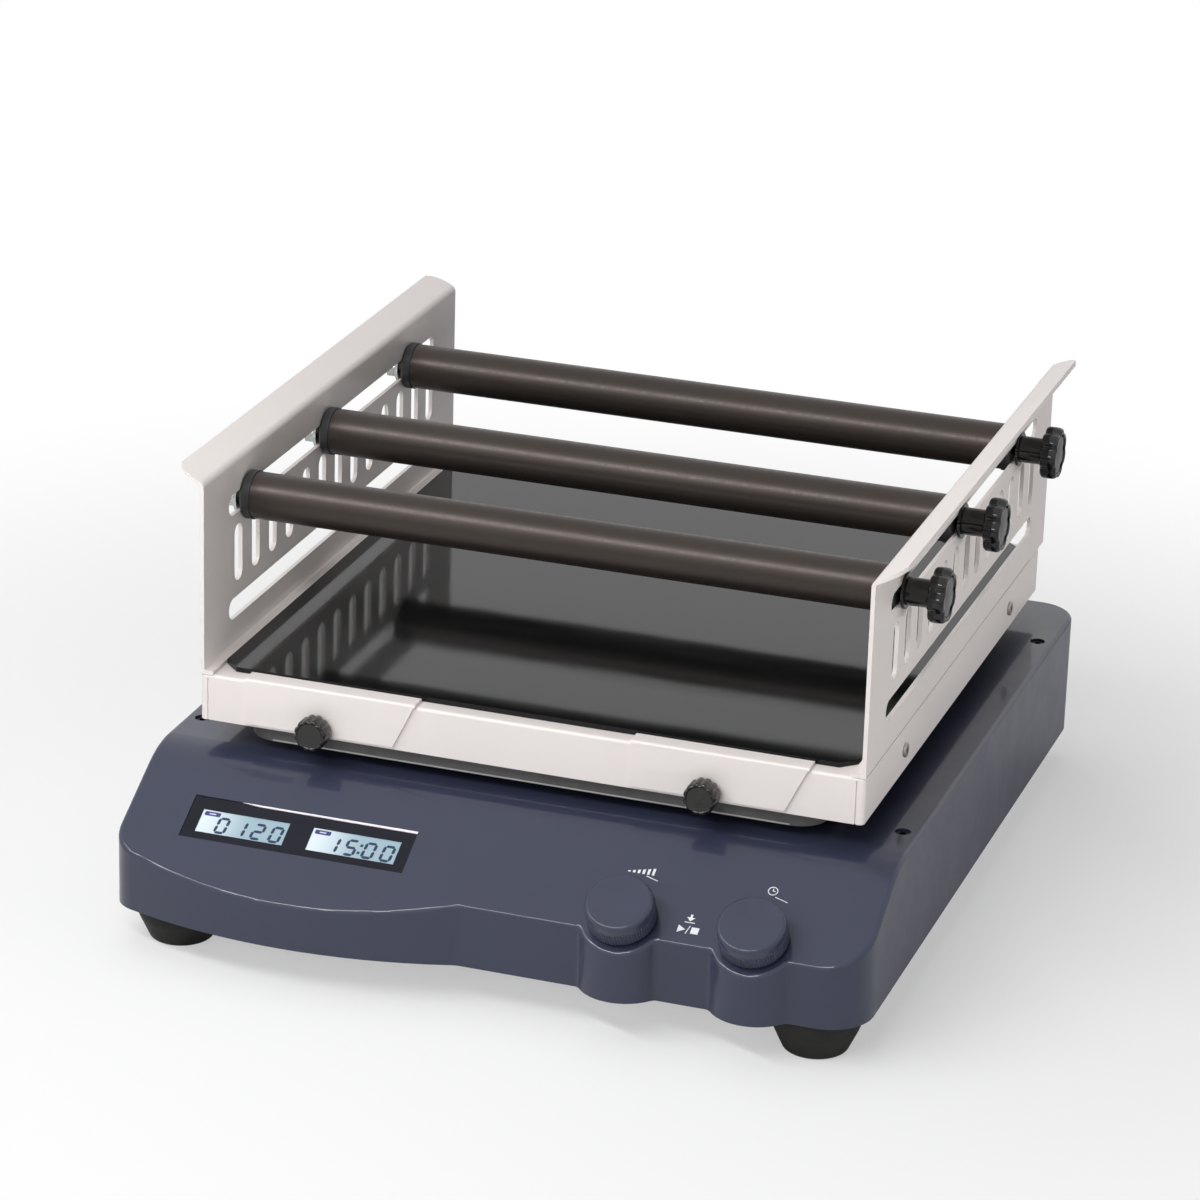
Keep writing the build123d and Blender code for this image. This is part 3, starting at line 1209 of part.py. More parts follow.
encoder_nuts = []
for name, x in zip(("speed", "time"), knob_xs):
    body_top = -HOUSING_WALL
    body_low = body_top - ENC_BODY_H
    body = Pos(0, 0, (body_top + body_low) / 2) * Box(ENC_BODY, ENC_BODY, ENC_BODY_H)
    bush = Pos(0, 0, (body_top + BUSH_ABOVE) / 2) * Cylinder(BUSH_R, BUSH_ABOVE - body_top)
    plunger_low = body_low + PUSH_TRAVEL + HUB_LIP
    plunger_top = plunger_low + PLUNGER_H
    shaft_bore = Pos(0, 0, (body_low + HUB_LIP + BUSH_ABOVE + 1) / 2) * Cylinder(
        SHAFT_R + RUN_GAP, BUSH_ABOVE + 1 - body_low - HUB_LIP
    )
    chamber_top = plunger_top + AXIAL_GAP
    chamber = Pos(0, 0, (body_low + HUB_LIP + chamber_top) / 2) * Cylinder(
        PLUNGER_R + RUN_GAP, chamber_top - body_low - HUB_LIP
    )
    encoder = body + bush - shaft_bore - chamber
    keep(f"{name}_encoder", on_slope(encoder, x, KNOB_UP_SLOPE, 0.0))
    nut = extrude(RegularPolygon(ENC_NUT_R, 6), ENC_NUT_H) - Cylinder(BUSH_R, 4 * ENC_NUT_H)
    encoder_nuts.append(on_slope(nut, x, KNOB_UP_SLOPE, 0.0))
    plunger = Pos(0, 0, (plunger_low + plunger_top) / 2) * Cylinder(PLUNGER_R, PLUNGER_H)
    keep(f"{name}_plunger", on_slope(plunger, x, KNOB_UP_SLOPE, 0.0))
    shaft_low = plunger_top + PLUNGER_GAP
    shaft_top = KNOB_LIFT + KNOB_HOLLOW_H + SHAFT_INTO_KNOB
    shaft = Pos(0, 0, (shaft_low + shaft_top) / 2) * Cylinder(SHAFT_R, shaft_top - shaft_low)
    keep(f"{name}_shaft", on_slope(shaft, x, KNOB_UP_SLOPE, 0.0))
    knob = Pos(0, 0, KNOB_LIFT + KNOB_H / 2) * Cylinder(KNOB_R, KNOB_H)
    knob = fillet(knob.edges().sort_by(Axis.Z)[-1], KNOB_RIM_R)
    hollow = Pos(0, 0, KNOB_LIFT + KNOB_HOLLOW_H / 2 - 1) * Cylinder(
        KNOB_HOLLOW_R, KNOB_HOLLOW_H + 2
    )
    socket = Pos(0, 0, KNOB_LIFT + (KNOB_HOLLOW_H + SHAFT_INTO_KNOB) / 2) * Cylinder(
        SHAFT_R, KNOB_HOLLOW_H + SHAFT_INTO_KNOB
    )
    keep(f"{name}_knob", on_slope(knob - hollow - socket, x, KNOB_UP_SLOPE, 0.0))
keep("encoder_nuts", *encoder_nuts)

# Rear: mains inlet and power switch

inlet_flat = Rectangle(INLET_SOCKET_W, INLET_SOCKET_H)
upper_corners = inlet_flat.vertices().sort_by(Axis.Y)[-2:]
inlet_flat = chamfer(upper_corners, INLET_CHAMFER)
rear_y = HOUSING_REAR_Y
inlet = block(
    INLET_X - INLET_W / 2,
    INLET_X + INLET_W / 2,
    rear_y,
    rear_y + INLET_FLANGE_T,
    rear_z - INLET_H / 2,
    rear_z + INLET_H / 2,
)
inlet = inlet + block(
    INLET_X - INLET_BODY_W / 2,
    INLET_X + INLET_BODY_W / 2,
    rear_y - INLET_BODY_L,
    rear_y,
    rear_z - INLET_BODY_H / 2,
    rear_z + INLET_BODY_H / 2,
)
socket_cut = extrude(Plane.XZ * inlet_flat, INLET_SOCKET_D)
inlet = inlet - Pos(INLET_X, rear_y + INLET_FLANGE_T, rear_z) * socket_cut
prongs = []
prong_back = rear_y + INLET_FLANGE_T - INLET_SOCKET_D
for dx, dz in ((-PRONG_PITCH / 2, 0.0), (PRONG_PITCH / 2, 0.0), (0.0, PRONG_UP)):
    prongs.append(
        block(
            INLET_X + dx - PRONG_T / 2,
            INLET_X + dx + PRONG_T / 2,
            prong_back,
            prong_back + PRONG_L,
            rear_z + dz - PRONG_W / 2,
            rear_z + dz + PRONG_W / 2,
        )
    )
keep("power_inlet", inlet)
keep("inlet_prongs", *prongs)

frame = block(
    SWITCH_X - SWITCH_W / 2,
    SWITCH_X + SWITCH_W / 2,
    rear_y,
    rear_y + SWITCH_FLANGE_T,
    rear_z - SWITCH_H / 2,
    rear_z + SWITCH_H / 2,
)
frame = frame + block(
    SWITCH_X - SWITCH_BODY_W / 2,
    SWITCH_X + SWITCH_BODY_W / 2,
    rear_y - SWITCH_BODY_L,
    rear_y,
    rear_z - SWITCH_BODY_H / 2,
    rear_z + SWITCH_BODY_H / 2,
)
well_h = ROCKER_H + 2 * ROCKER_GAP + 1
frame = frame - block(
    SWITCH_X - ROCKER_W / 2 - ROCKER_GAP,
    SWITCH_X + ROCKER_W / 2 + ROCKER_GAP,
    rear_y - ROCKER_T - 4,
    rear_y + SWITCH_FLANGE_T + 1,
    rear_z - well_h / 2,
    rear_z + well_h / 2,
)
pivot_y = rear_y - ROCKER_T / 2
pin_reach = ROCKER_W / 2 + 2
pin_hole = rod_x(pivot_y, rear_z, ROCKER_PIN_R + RUN_GAP, SWITCH_X - pin_reach, SWITCH_X + pin_reach)
frame = frame - pin_hole
keep("switch_frame", frame)

rocker_rad = math.radians(ROCKER_DEG)
tip = ROCKER_H / 2
rise = tip * math.tan(rocker_rad)
front_y = ROCKER_T / 2 + SWITCH_FLANGE_T - 1
outline = Polygon(
    (-ROCKER_T / 2, -tip * ROCKER_SHOULDER),
    (front_y + rise, -tip),
    (front_y, 0),
    (front_y + rise, tip),
    (-ROCKER_T / 2, tip * ROCKER_SHOULDER),
    align=None,
)
rocker = extrude(Plane.YZ * outline, ROCKER_W / 2, both=True)
rocker = rocker + rod_x(0, 0, ROCKER_PIN_R, -pin_reach + RUN_GAP, pin_reach - RUN_GAP)
rocker = Pos(SWITCH_X, pivot_y, rear_z) * Rot(-ROCKER_DEG, 0, 0) * rocker
keep("power_rocker", rocker)

# Control board

board_z = PLATE_TOP + CONTROL_STANDOFF
control = block(
    CONTROL_X - CONTROL_W / 2,
    CONTROL_X + CONTROL_W / 2,
    CONTROL_Y - CONTROL_D / 2,
    CONTROL_Y + CONTROL_D / 2,
    board_z,
    board_z + BOARD_T,
)
for dx in (-1, 1):
    for dy in (-1, 1):
        x = CONTROL_X + dx * (CONTROL_W / 2 - CONTROL_INSET)
        y = CONTROL_Y + dy * (CONTROL_D / 2 - CONTROL_INSET)
        control = control + rod_z(x, y, CONTROL_STANDOFF_R, PLATE_TOP, board_z + BOARD_T)
part_z = board_z + BOARD_T
coil_x = CONTROL_X - CONTROL_W / 4
control = control + Pos(coil_x, CONTROL_Y, part_z + COIL_BOX[2] / 2) * Box(*COIL_BOX)
sink_y = CONTROL_Y - CONTROL_D / 2 + SINK_BOX[1]
sink_x = CONTROL_X + CONTROL_W / 5
control = control + Pos(sink_x, sink_y, part_z + SINK_BOX[2] / 2) * Box(*SINK_BOX)
for k in (0, 1):
    x = CONTROL_X + CONTROL_W / 8 + k * 3 * CAP_CAN_R
    control = control + rod_z(x, CONTROL_Y + CAP_CAN_R, CAP_CAN_R, part_z, part_z + CAP_CAN_H)
keep("control_board", control)


def export_all():
    """Moves the origin to the bottom centre of the whole and writes one file per node."""
    boxes = [solid.bounding_box() for solids in nodes.values() for solid in solids]
    shift_x = -(min(b.min.X for b in boxes) + max(b.max.X for b in boxes)) / 2
    shift_y = -(min(b.min.Y for b in boxes) + max(b.max.Y for b in boxes)) / 2
    for name, solids in nodes.items():
        moved = [Pos(shift_x, shift_y, 0) * solid for solid in solids]
        shape = moved[0] if len(moved) == 1 else Compound(children=moved)
        shape.label = name
        export_step(shape, f"parts/{name}.step")
    print(len(nodes), "nodes, moved by", round(shift_x, 3), round(shift_y, 3))


export_all()
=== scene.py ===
import json
import math

import bmesh
import bpy
from bpy.props import (
    FloatProperty, FloatVectorProperty, IntProperty, PointerProperty, StringProperty,
)
from mathutils import Matrix, Vector
from mathutils.bvhtree import BVHTree


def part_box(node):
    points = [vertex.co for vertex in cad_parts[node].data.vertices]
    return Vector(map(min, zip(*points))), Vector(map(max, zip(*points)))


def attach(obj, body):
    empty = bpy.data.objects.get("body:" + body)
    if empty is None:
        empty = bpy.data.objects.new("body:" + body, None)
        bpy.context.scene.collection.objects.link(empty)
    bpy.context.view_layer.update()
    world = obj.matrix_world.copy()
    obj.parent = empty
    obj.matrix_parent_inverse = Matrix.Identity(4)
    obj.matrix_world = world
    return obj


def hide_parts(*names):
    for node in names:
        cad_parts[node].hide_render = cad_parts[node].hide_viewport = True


bl_info = {
    "name": "Orbital Shaker",
    "version": (1, 0, 0),
    "blender": (4, 5, 0),
    "location": "View3D > Sidebar > Shaker",
    "description": "Finishes, readouts and fine pieces of a laboratory orbital shaker",
    "category": "Add Mesh",
}

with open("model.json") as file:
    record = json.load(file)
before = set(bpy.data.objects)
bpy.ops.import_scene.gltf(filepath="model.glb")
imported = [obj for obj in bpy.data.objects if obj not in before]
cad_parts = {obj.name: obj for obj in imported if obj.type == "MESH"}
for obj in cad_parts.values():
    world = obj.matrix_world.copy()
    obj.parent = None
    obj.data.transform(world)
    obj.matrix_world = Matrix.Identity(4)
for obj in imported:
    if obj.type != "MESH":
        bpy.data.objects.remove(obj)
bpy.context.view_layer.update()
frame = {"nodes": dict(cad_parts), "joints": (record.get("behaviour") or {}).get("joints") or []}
NODES = frame["nodes"]
JOINTS = {joint["name"]: joint for joint in frame["joints"]}
SLOTS = {name: item.material_slots[0].material.name.split(".")[0] for name, item in NODES.items()}
MM = 0.001


def screen(red, green, blue):
    """A colour read off a screen, from 0 to 255, as the linear values that shaders use."""
    linear = []
    for level in (red / 255, green / 255, blue / 255):
        linear.append(level / 12.92 if level <= 0.04045 else ((level + 0.055) / 1.055) ** 2.4)
    return tuple(linear)


def colour(name, description, value):
    """A colour property with its default."""
    return FloatVectorProperty(
        name=name, description=description, subtype="COLOR", size=3,
        min=0.0, max=1.0, default=value,
    )


def length(name, description, millimetres):
    """A length property with its default, kept in metres."""
    return FloatProperty(
        name=name, description=description, unit="LENGTH", min=0.0,
        default=millimetres * MM, precision=5,
    )


def power(name, description, watts):
    """A lamp's power property with its default."""
    return FloatProperty(name=name, description=description, unit="POWER", min=0.0, default=watts)


class ShakerFinishes(bpy.types.PropertyGroup):
    """Colours of the shaker's paint, metal, rubber and plastic."""

    housing: colour("Housing paint", "Satin paint on the cast base and the knobs", screen(48, 52, 71))
    tray: colour("Tray coating", "Powder coat on the tray and its side panels", screen(229, 222, 219))
    carriage: colour("Carriage", "Dark coating on the casting under the tray", screen(82, 81, 80))
    bars: colour("Bars", "Dark satin finish of the holding bars", screen(60, 53, 49))
    plastic: colour("Black plastic", "Moulded caps and the rear sockets", screen(34, 34, 35))
    gloss: colour("Polished plastic", "Star knobs and rocker", screen(13, 13, 14))
    window: colour("Display window", "Tinted frame round the two displays", screen(30, 31, 40))
    thumb: colour("Thumb screws", "Moulded heads of the clamp screws", screen(17, 16, 13))
    rubber: colour("Rubber", "Feet and drive belt", screen(24, 24, 22))
    mat: colour("Mat", "Smooth black mat on the tray", screen(14, 15, 16))


class ShakerReadouts(bpy.types.PropertyGroup):
    """What the two number displays show, and how large."""

    speed: StringProperty(
        name="Speed", description="Turns per minute on the left display", default="0120")
    time: StringProperty(
        name="Time", description="Minutes and seconds on the right display", default="15:00")
    digit_height: length("Digit height", "Height of a digit", 9.7)
    digit_width: length("Digit width", "Width of a digit", 6.1)
    pitch: length("Digit pitch", "Distance from one digit to the next", 9.15)
    stroke: length("Stroke", "Width of a digit's bars", 1.42)
    ink: colour("Digits", "Dark segments of the display", screen(24, 40, 72))
    face: colour("Display face", "Lit background of the display", screen(141, 166, 178))
    edge: colour("Display edge", "Brighter side of the lit background", screen(206, 218, 224))


class ShakerControls(bpy.types.PropertyGroup):
    """Grip of the two knobs and the printed signs beside them."""

    teeth: IntProperty(
        name="Grip teeth", description="Ribs round a knob's skirt", default=76, min=12, max=180)
    tooth_depth: length("Tooth depth", "How far the ribs stand out of the skirt", 0.36)
    grip_height: length("Grip height", "Height of the ribbed band", 6.4)
    print_width: length("Print width", "Width of the printed lines", 0.42)
    print_colour: colour("Print", "Colour of the printed signs", screen(228, 229, 233))


class ShakerStage(bpy.types.PropertyGroup):
    """Floor, light and camera."""

    floor: colour("Floor", "Colour of the floor", screen(238, 238, 238))
    top_light: power("Top light", "Power of the large overhead light", 8.0)
    edge_light: power("Edge light", "Power of the narrow light that draws the edges", 10.0)
    front_light: power("Front light", "Power of the light from the front left", 8.8)
    side_light: power("Side light", "Power of the low light from the right", 11.0)
    ambient: FloatProperty(name="Ambient", description="Strength of the even light all round",
                           default=0.13, min=0.0)
    lens: FloatProperty(name="Lens", description="Focal length in millimetres on a 36 mm sensor",
                        default=140.615, min=1.0)


# Shader building

# Places of a mix node's two colours and its result, whose sockets share their names with other kinds.
MIX_A, MIX_B, MIX_RESULT = 6, 7, 2


class Finish:
    """One procedural material, read in the object's own coordinates."""

    def __init__(self, name, base, roughness, metallic=0.0, specular=0.5, coat=0.0, coat_roughness=0.1):
        self.material = bpy.data.materials.new(name)
        self.material.use_nodes = True
        self.tree = self.material.node_tree
        self.shader = self.tree.nodes["Principled BSDF"]
        self.base = base
        settings = {
            "Base Color": (*base, 1.0), "Roughness": roughness, "Metallic": metallic,
            "Specular IOR Level": specular, "Coat Weight": coat, "Coat Roughness": coat_roughness,
        }
        for socket, value in settings.items():
            self.shader.inputs[socket].default_value = value
        self.coordinates = self.tree.nodes.new("ShaderNodeTexCoord").outputs["Object"]

    def add(self, kind, **values):
        """A new node with the given properties set."""
        node = self.tree.nodes.new(kind)
        for key, value in values.items():
            setattr(node, key, value)
        return node

    def link(self, source, target):
        """Joins an output to an input."""
        self.tree.links.new(source, target)

    def stretched(self, scale, turn=(0.0, 0.0, 0.0)):
        """Object coordinates, stretched and turned."""
        mapping = self.add("ShaderNodeMapping", vector_type="POINT")
        mapping.inputs["Scale"].default_value = scale
        mapping.inputs["Rotation"].default_value = turn
        self.link(self.coordinates, mapping.inputs["Vector"])
        return mapping.outputs["Vector"]

    def noise(self, scale, detail=3.0, roughness=0.5, vector=None):
        """Noise of about 1/scale metres to a feature."""
        texture = self.add("ShaderNodeTexNoise")
        texture.inputs["Scale"].default_value = scale
        texture.inputs["Detail"].default_value = detail
        texture.inputs["Roughness"].default_value = roughness
        self.link(vector or self.coordinates, texture.inputs["Vector"])
        return texture.outputs["Fac"]

    def tint(self, factor, dark, light, low=0.3, high=0.7):
        """Base colour that varies between two shares of the finish's own colour."""
        ramp = self.add("ShaderNodeValToRGB")
        for element, place, share in zip(ramp.color_ramp.elements, (low, high), (dark, light)):
            element.position = place
            element.color = (*[min(1.0, channel * share) for channel in self.base], 1.0)
        self.link(factor, ramp.inputs["Fac"])
        self.link(ramp.outputs["Color"], self.shader.inputs["Base Color"])

    def blend(self, factor, first, second):
        """Mixes two colours."""
        mix = self.add("ShaderNodeMix", data_type="RGBA")
        self.link(factor, mix.inputs["Factor"])
        mix.inputs[MIX_A].default_value = (*first, 1.0)
        mix.inputs[MIX_B].default_value = (*second, 1.0)
        return mix.outputs[MIX_RESULT]

    def ranged(self, factor, low, high, socket, start=0.3, end=0.7):
        """Maps a pattern to a range of values on a shader socket."""
        span = self.add("ShaderNodeMapRange")
        for key, value in zip(("From Min", "From Max", "To Min", "To Max"), (start, end, low, high)):
            span.inputs[key].default_value = value
        self.link(factor, span.inputs["Value"])
        self.link(span.outputs["Result"], self.shader.inputs[socket])

    def bump(self, height, millimetres):
        """Relief of the given depth, laid over any relief that is there already."""
        relief = self.add("ShaderNodeBump")
        relief.inputs["Strength"].default_value = 1.0
        relief.inputs["Distance"].default_value = millimetres * MM
        self.link(height, relief.inputs["Height"])
        current = self.shader.inputs["Normal"]
        if current.is_linked:
            self.link(current.links[0].from_socket, relief.inputs["Normal"])
        self.link(relief.outputs["Normal"], current)


def sprayed_paint(name, base, roughness, specular, coat, peel=0.012):
    """Sprayed or powdered paint: faint drift of tone, uneven gloss and orange peel."""
    paint = Finish(name, base, roughness, specular=specular, coat=coat, coat_roughness=0.07)
    paint.tint(paint.noise(11.0, 2.0), 0.975, 1.025)
    paint.ranged(paint.noise(42.0, 4.0, 0.6), roughness - 0.04, roughness + 0.05, "Roughness")
    paint.bump(paint.noise(900.0, 1.0), peel)
    paint.bump(paint.noise(170.0, 2.0), peel * 1.4)
    return paint.material


def cast_coating(name, base):
    """Dark coating over a sand casting: grain shows through."""
    coating = Finish(name, base, 0.5, specular=0.3)
    coating.tint(coating.noise(60.0, 4.0, 0.6), 0.86, 1.14)
    coating.ranged(coating.noise(300.0, 3.0), 0.42, 0.62, "Roughness")
    coating.bump(coating.noise(1400.0, 3.0, 0.65), 0.06)
    return coating.material


def moulded(name, base, roughness, grain=0.02, specular=0.5, coat=0.0):
    """Moulded plastic or rubber with a spark-eroded grain."""
    plastic = Finish(name, base, roughness, specular=specular, coat=coat, coat_roughness=0.14)
    plastic.tint(plastic.noise(38.0, 3.0), 0.9, 1.1)
    plastic.ranged(plastic.noise(120.0, 4.0, 0.6), roughness - 0.06, roughness + 0.08, "Roughness")
    plastic.bump(plastic.noise(2600.0, 2.0), grain)
    return plastic.material


def smooth_rubber(name, base):
    """Smooth glossy rubber sheet with a slight ripple and faint wiping marks."""
    sheet = Finish(name, base, 0.07, specular=0.3)
    sheet.tint(sheet.noise(9.0, 2.0), 0.92, 1.08)
    wiped = sheet.noise(60.0, 3.0, 0.6, sheet.stretched((0.12, 1.0, 1.0), (0.0, 0.0, 0.35)))
    sheet.ranged(wiped, 0.055, 0.09, "Roughness")
    sheet.bump(sheet.noise(26.0, 1.0), 0.05)
    return sheet.material


def polished(name, base, specular=0.35):
    """Polished black plastic with slight haze and hairline scratches."""
    gloss = Finish(name, base, 0.13, specular=specular)
    gloss.tint(gloss.noise(30.0, 2.0), 0.85, 1.15)
    scratches = gloss.noise(900.0, 3.0, 0.7, gloss.stretched((0.08, 1.0, 1.0), (0.0, 0.0, 0.6)))
    gloss.ranged(scratches, 0.1, 0.2, "Roughness", 0.5, 0.8)
    gloss.bump(gloss.noise(220.0, 1.0), 0.004)
    return gloss.material


def turned_metal(name, base, roughness, lines=(1.0, 1.0, 1.0), depth=0.006, metallic=1.0):
    """Machined metal: fine tool lines along the given directions and faint tarnish."""
    metal = Finish(name, base, roughness, metallic)
    grooves = metal.noise(1500.0, 3.0, 0.7, metal.stretched(lines))
    metal.tint(metal.noise(55.0, 4.0, 0.6), 0.84, 1.08)
    metal.ranged(grooves, roughness - 0.08, roughness + 0.12, "Roughness")
    metal.bump(grooves, depth)
    return metal.material


def satin_bar(name, base):
    """Dark satin tube, ground round its own axis, which lies along X."""
    satin = Finish(name, base, 0.36, 0.6)
    rings = satin.noise(700.0, 2.0, 0.6, satin.stretched((1.0, 0.03, 0.03)))
    satin.tint(satin.noise(24.0, 3.0, 0.6, satin.stretched((0.35, 1.0, 1.0))), 0.92, 1.08)
    satin.ranged(rings, 0.3, 0.42, "Roughness")
    satin.bump(rings, 0.004)
    return satin.material


def lacquered_board(name):
    """Green board with copper tracks under the lacquer."""
    board = Finish(name, screen(22, 74, 46), 0.35, coat=0.3)
    tracks = board.add("ShaderNodeTexBrick", offset=0.5, squash=0.6, squash_frequency=3)
    tracks.inputs["Scale"].default_value = 110.0
    tracks.inputs["Mortar Size"].default_value = 0.06
    tracks.inputs["Color1"].default_value = (*screen(20, 70, 44), 1.0)
    tracks.inputs["Color2"].default_value = (*screen(26, 84, 52), 1.0)
    tracks.inputs["Mortar"].default_value = (*screen(96, 128, 60), 1.0)
    board.link(board.coordinates, tracks.inputs["Vector"])
    board.link(tracks.outputs["Color"], board.shader.inputs["Base Color"])
    board.bump(tracks.outputs["Fac"], 0.03)
    return board.material


def lit_display(name, node, face, edge):
    """Back-lit display face, brighter towards its left end, with a faint dot grid."""
    low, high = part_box(node)
    bright_share, dot_pitch = 0.6, 0.55 * MM
    glass = Finish(name, face, 0.28, coat=0.6, coat_roughness=0.08)
    parts = glass.add("ShaderNodeSeparateXYZ")
    glass.link(glass.coordinates, parts.inputs["Vector"])
    share = glass.add("ShaderNodeMapRange", interpolation_type="SMOOTHSTEP")
    for key, value in zip(("From Min", "From Max"), (low.x, low.x + bright_share * (high.x - low.x))):
        share.inputs[key].default_value = value
    glass.link(parts.outputs["X"], share.inputs["Value"])
    ground = glass.blend(share.outputs["Result"], edge, face)
    dots = glass.add("ShaderNodeTexChecker")
    dots.inputs["Scale"].default_value = 1 / dot_pitch
    dots.inputs["Color1"].default_value = (1.0, 1.0, 1.0, 1.0)
    dots.inputs["Color2"].default_value = (0.965, 0.97, 0.975, 1.0)
    glass.link(glass.coordinates, dots.inputs["Vector"])
    grid = glass.add("ShaderNodeMix", data_type="RGBA", blend_type="MULTIPLY")
    grid.inputs["Factor"].default_value = 1.0
    glass.link(ground, grid.inputs[MIX_A])
    glass.link(dots.outputs["Color"], grid.inputs[MIX_B])
    for socket in ("Base Color", "Emission Color"):
        glass.link(grid.outputs[MIX_RESULT], glass.shader.inputs[socket])
    glass.shader.inputs["Emission Strength"].default_value = 0.14
    return glass.material


def printed_ink(name, base):
    """Thin printed ink with a slightly uneven tone."""
    ink = Finish(name, base, 0.55)
    ink.tint(ink.noise(1800.0, 2.0), 0.9, 1.08)
    ink.bump(ink.noise(3000.0, 1.0), 0.01)
    return ink.material


# Mesh building, in millimetres

WELD = 1e-4


def node_points(node):
    """All vertices of a CAD node."""
    return [vertex.co / MM for vertex in NODES[node].data.vertices]


def node_box(node):
    """Lowest and highest corner of a CAD node."""
    return tuple(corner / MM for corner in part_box(node))


def node_tree(node):
    """A CAD node's surface, ready for casting rays at it."""
    faces = [tuple(face.vertices) for face in NODES[node].data.polygons]
    return BVHTree.FromPolygons(node_points(node), faces)


def span(points):
    """Lowest and highest corner of some points."""
    low = Vector(min(point[axis] for point in points) for axis in range(3))
    high = Vector(max(point[axis] for point in points) for axis in range(3))
    return low, high


def node_span(node, place):
    """Lowest and highest corner of a CAD node in a place's own directions."""
    inverse = place.inverted()
    return span([inverse @ point for point in node_points(node)])


def place_at(origin, across, up, out):
    """A place with the given directions for its own X, Y and Z."""
    place = Matrix((across, up, out)).transposed().to_4x4()
    place.translation = origin
    return place


def slope_place(knob):
    """Place on the slope under a control knob, with X across, Y up the slope and Z out of it."""
    out = Vector(JOINTS["speed_knob_turn"]["axis"])
    if out.z < 0:
        out.negate()
    across = Vector((1.0, 0.0, 0.0))
    origin = Vector(JOINTS[f"{knob}_knob_turn"]["pos_m"]) / MM
    return place_at(origin, across, out.cross(across), out)


def side_place(origin, outward):
    """Place on a side of the tray, with Y up and Z outward: 1 to the right and -1 to the left."""
    return place_at(origin, (0.0, outward, 0.0), (0.0, 0.0, 1.0), (outward, 0.0, 0.0))


def front_place(origin):
    """Place on the tray's front, with Y up and Z outward."""
    return place_at(origin, (1.0, 0.0, 0.0), (0.0, 0.0, 1.0), (0.0, -1.0, 0.0))


def raised(bm, geometry, offset):
    """Moves what an extrusion gave, and returns its vertices."""
    vertices = [item for item in geometry["geom"] if isinstance(item, bmesh.types.BMVert)]
    bmesh.ops.translate(bm, vec=offset, verts=vertices)
    return vertices


def add_slab(bm, outline, low, high):
    """Extrudes a flat outline from one height to another."""
    face = bm.faces.new([bm.verts.new((x, y, low)) for x, y in outline])
    raised(bm, bmesh.ops.extrude_face_region(bm, geom=[face]), (0.0, 0.0, high - low))


def add_stroke(bm, start, end, width, low, high, point=0.0):
    """A bar from one point to another. With point, its ends taper like a display segment's."""
    start, end = Vector(start), Vector(end)
    along = (end - start).normalized()
    side = Vector((-along.y, along.x)) * width / 2
    inset = along * point
    outline = [start + inset - side, end - inset - side]
    if point:
        outline.append(end)
    outline += [end - inset + side, start + inset + side]
    if point:
        outline.append(start)
    add_slab(bm, outline, low, high)


def add_ring(bm, centre, radius, width, low, high, steps=48):
    """A flat printed ring, spun from its cross-section."""
    inner, outer = radius - width / 2, radius + width / 2
    section = [(inner, low), (outer, low), (outer, high), (inner, high)]
    corners = [bm.verts.new((centre[0] + x, centre[1], z)) for x, z in section]
    edges = [bm.edges.new((corners[i], corners[(i + 1) % 4])) for i in range(4)]
    bmesh.ops.spin(
        bm, geom=corners + edges, cent=(*centre, 0.0), axis=(0.0, 0.0, 1.0),
        angle=math.tau, steps=steps, use_merge=True,
    )


def add_turned(bm, segments, rings, flutes, flute_depth):
    """A closed turned shape. Each ring gives its height, its radius and its share of the flutes."""
    bmesh.ops.create_circle(bm, segments=segments, radius=1.0)
    edges, verts = list(bm.edges), list(bm.verts)
    for index, (height, radius, share) in enumerate(rings):
        if index:
            grown = bmesh.ops.extrude_edge_only(bm, edges=edges)["geom"]
            edges = [item for item in grown if isinstance(item, bmesh.types.BMEdge)]
            verts = [item for item in grown if isinstance(item, bmesh.types.BMVert)]
        for vertex in verts:
            angle = math.atan2(vertex.co.y, vertex.co.x)
            dip = flute_depth * share * (0.5 + 0.5 * math.cos(flutes * angle)) ** 2
            reach = radius - dip
            vertex.co = (reach * math.cos(angle), reach * math.sin(angle), height)
    bmesh.ops.holes_fill(bm, edges=[edge for edge in bm.edges if edge.is_boundary])


def make_piece(name, bm, place, finish, body, smooth_angle=30.0):
    """Turns a bmesh in millimetres into a finished piece that rides on a body."""
    bmesh.ops.remove_doubles(bm, verts=bm.verts, dist=WELD)
    bmesh.ops.recalc_face_normals(bm, faces=bm.faces)
    if any(not edge.is_manifold for edge in bm.edges):
        raise RuntimeError(f"{name} is not closed")
    mesh = bpy.data.meshes.new(name)
    bm.to_mesh(mesh)
    bm.free()
    mesh.transform(Matrix.Scale(MM, 4) @ place)
    mesh.shade_smooth()
    mesh.set_sharp_from_angle(angle=math.radians(smooth_angle))
    mesh.materials.append(finish)
    piece = bpy.data.objects.new(name, mesh)
    bpy.context.scene.collection.objects.link(piece)
    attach(piece, body)
    return piece


# Operators

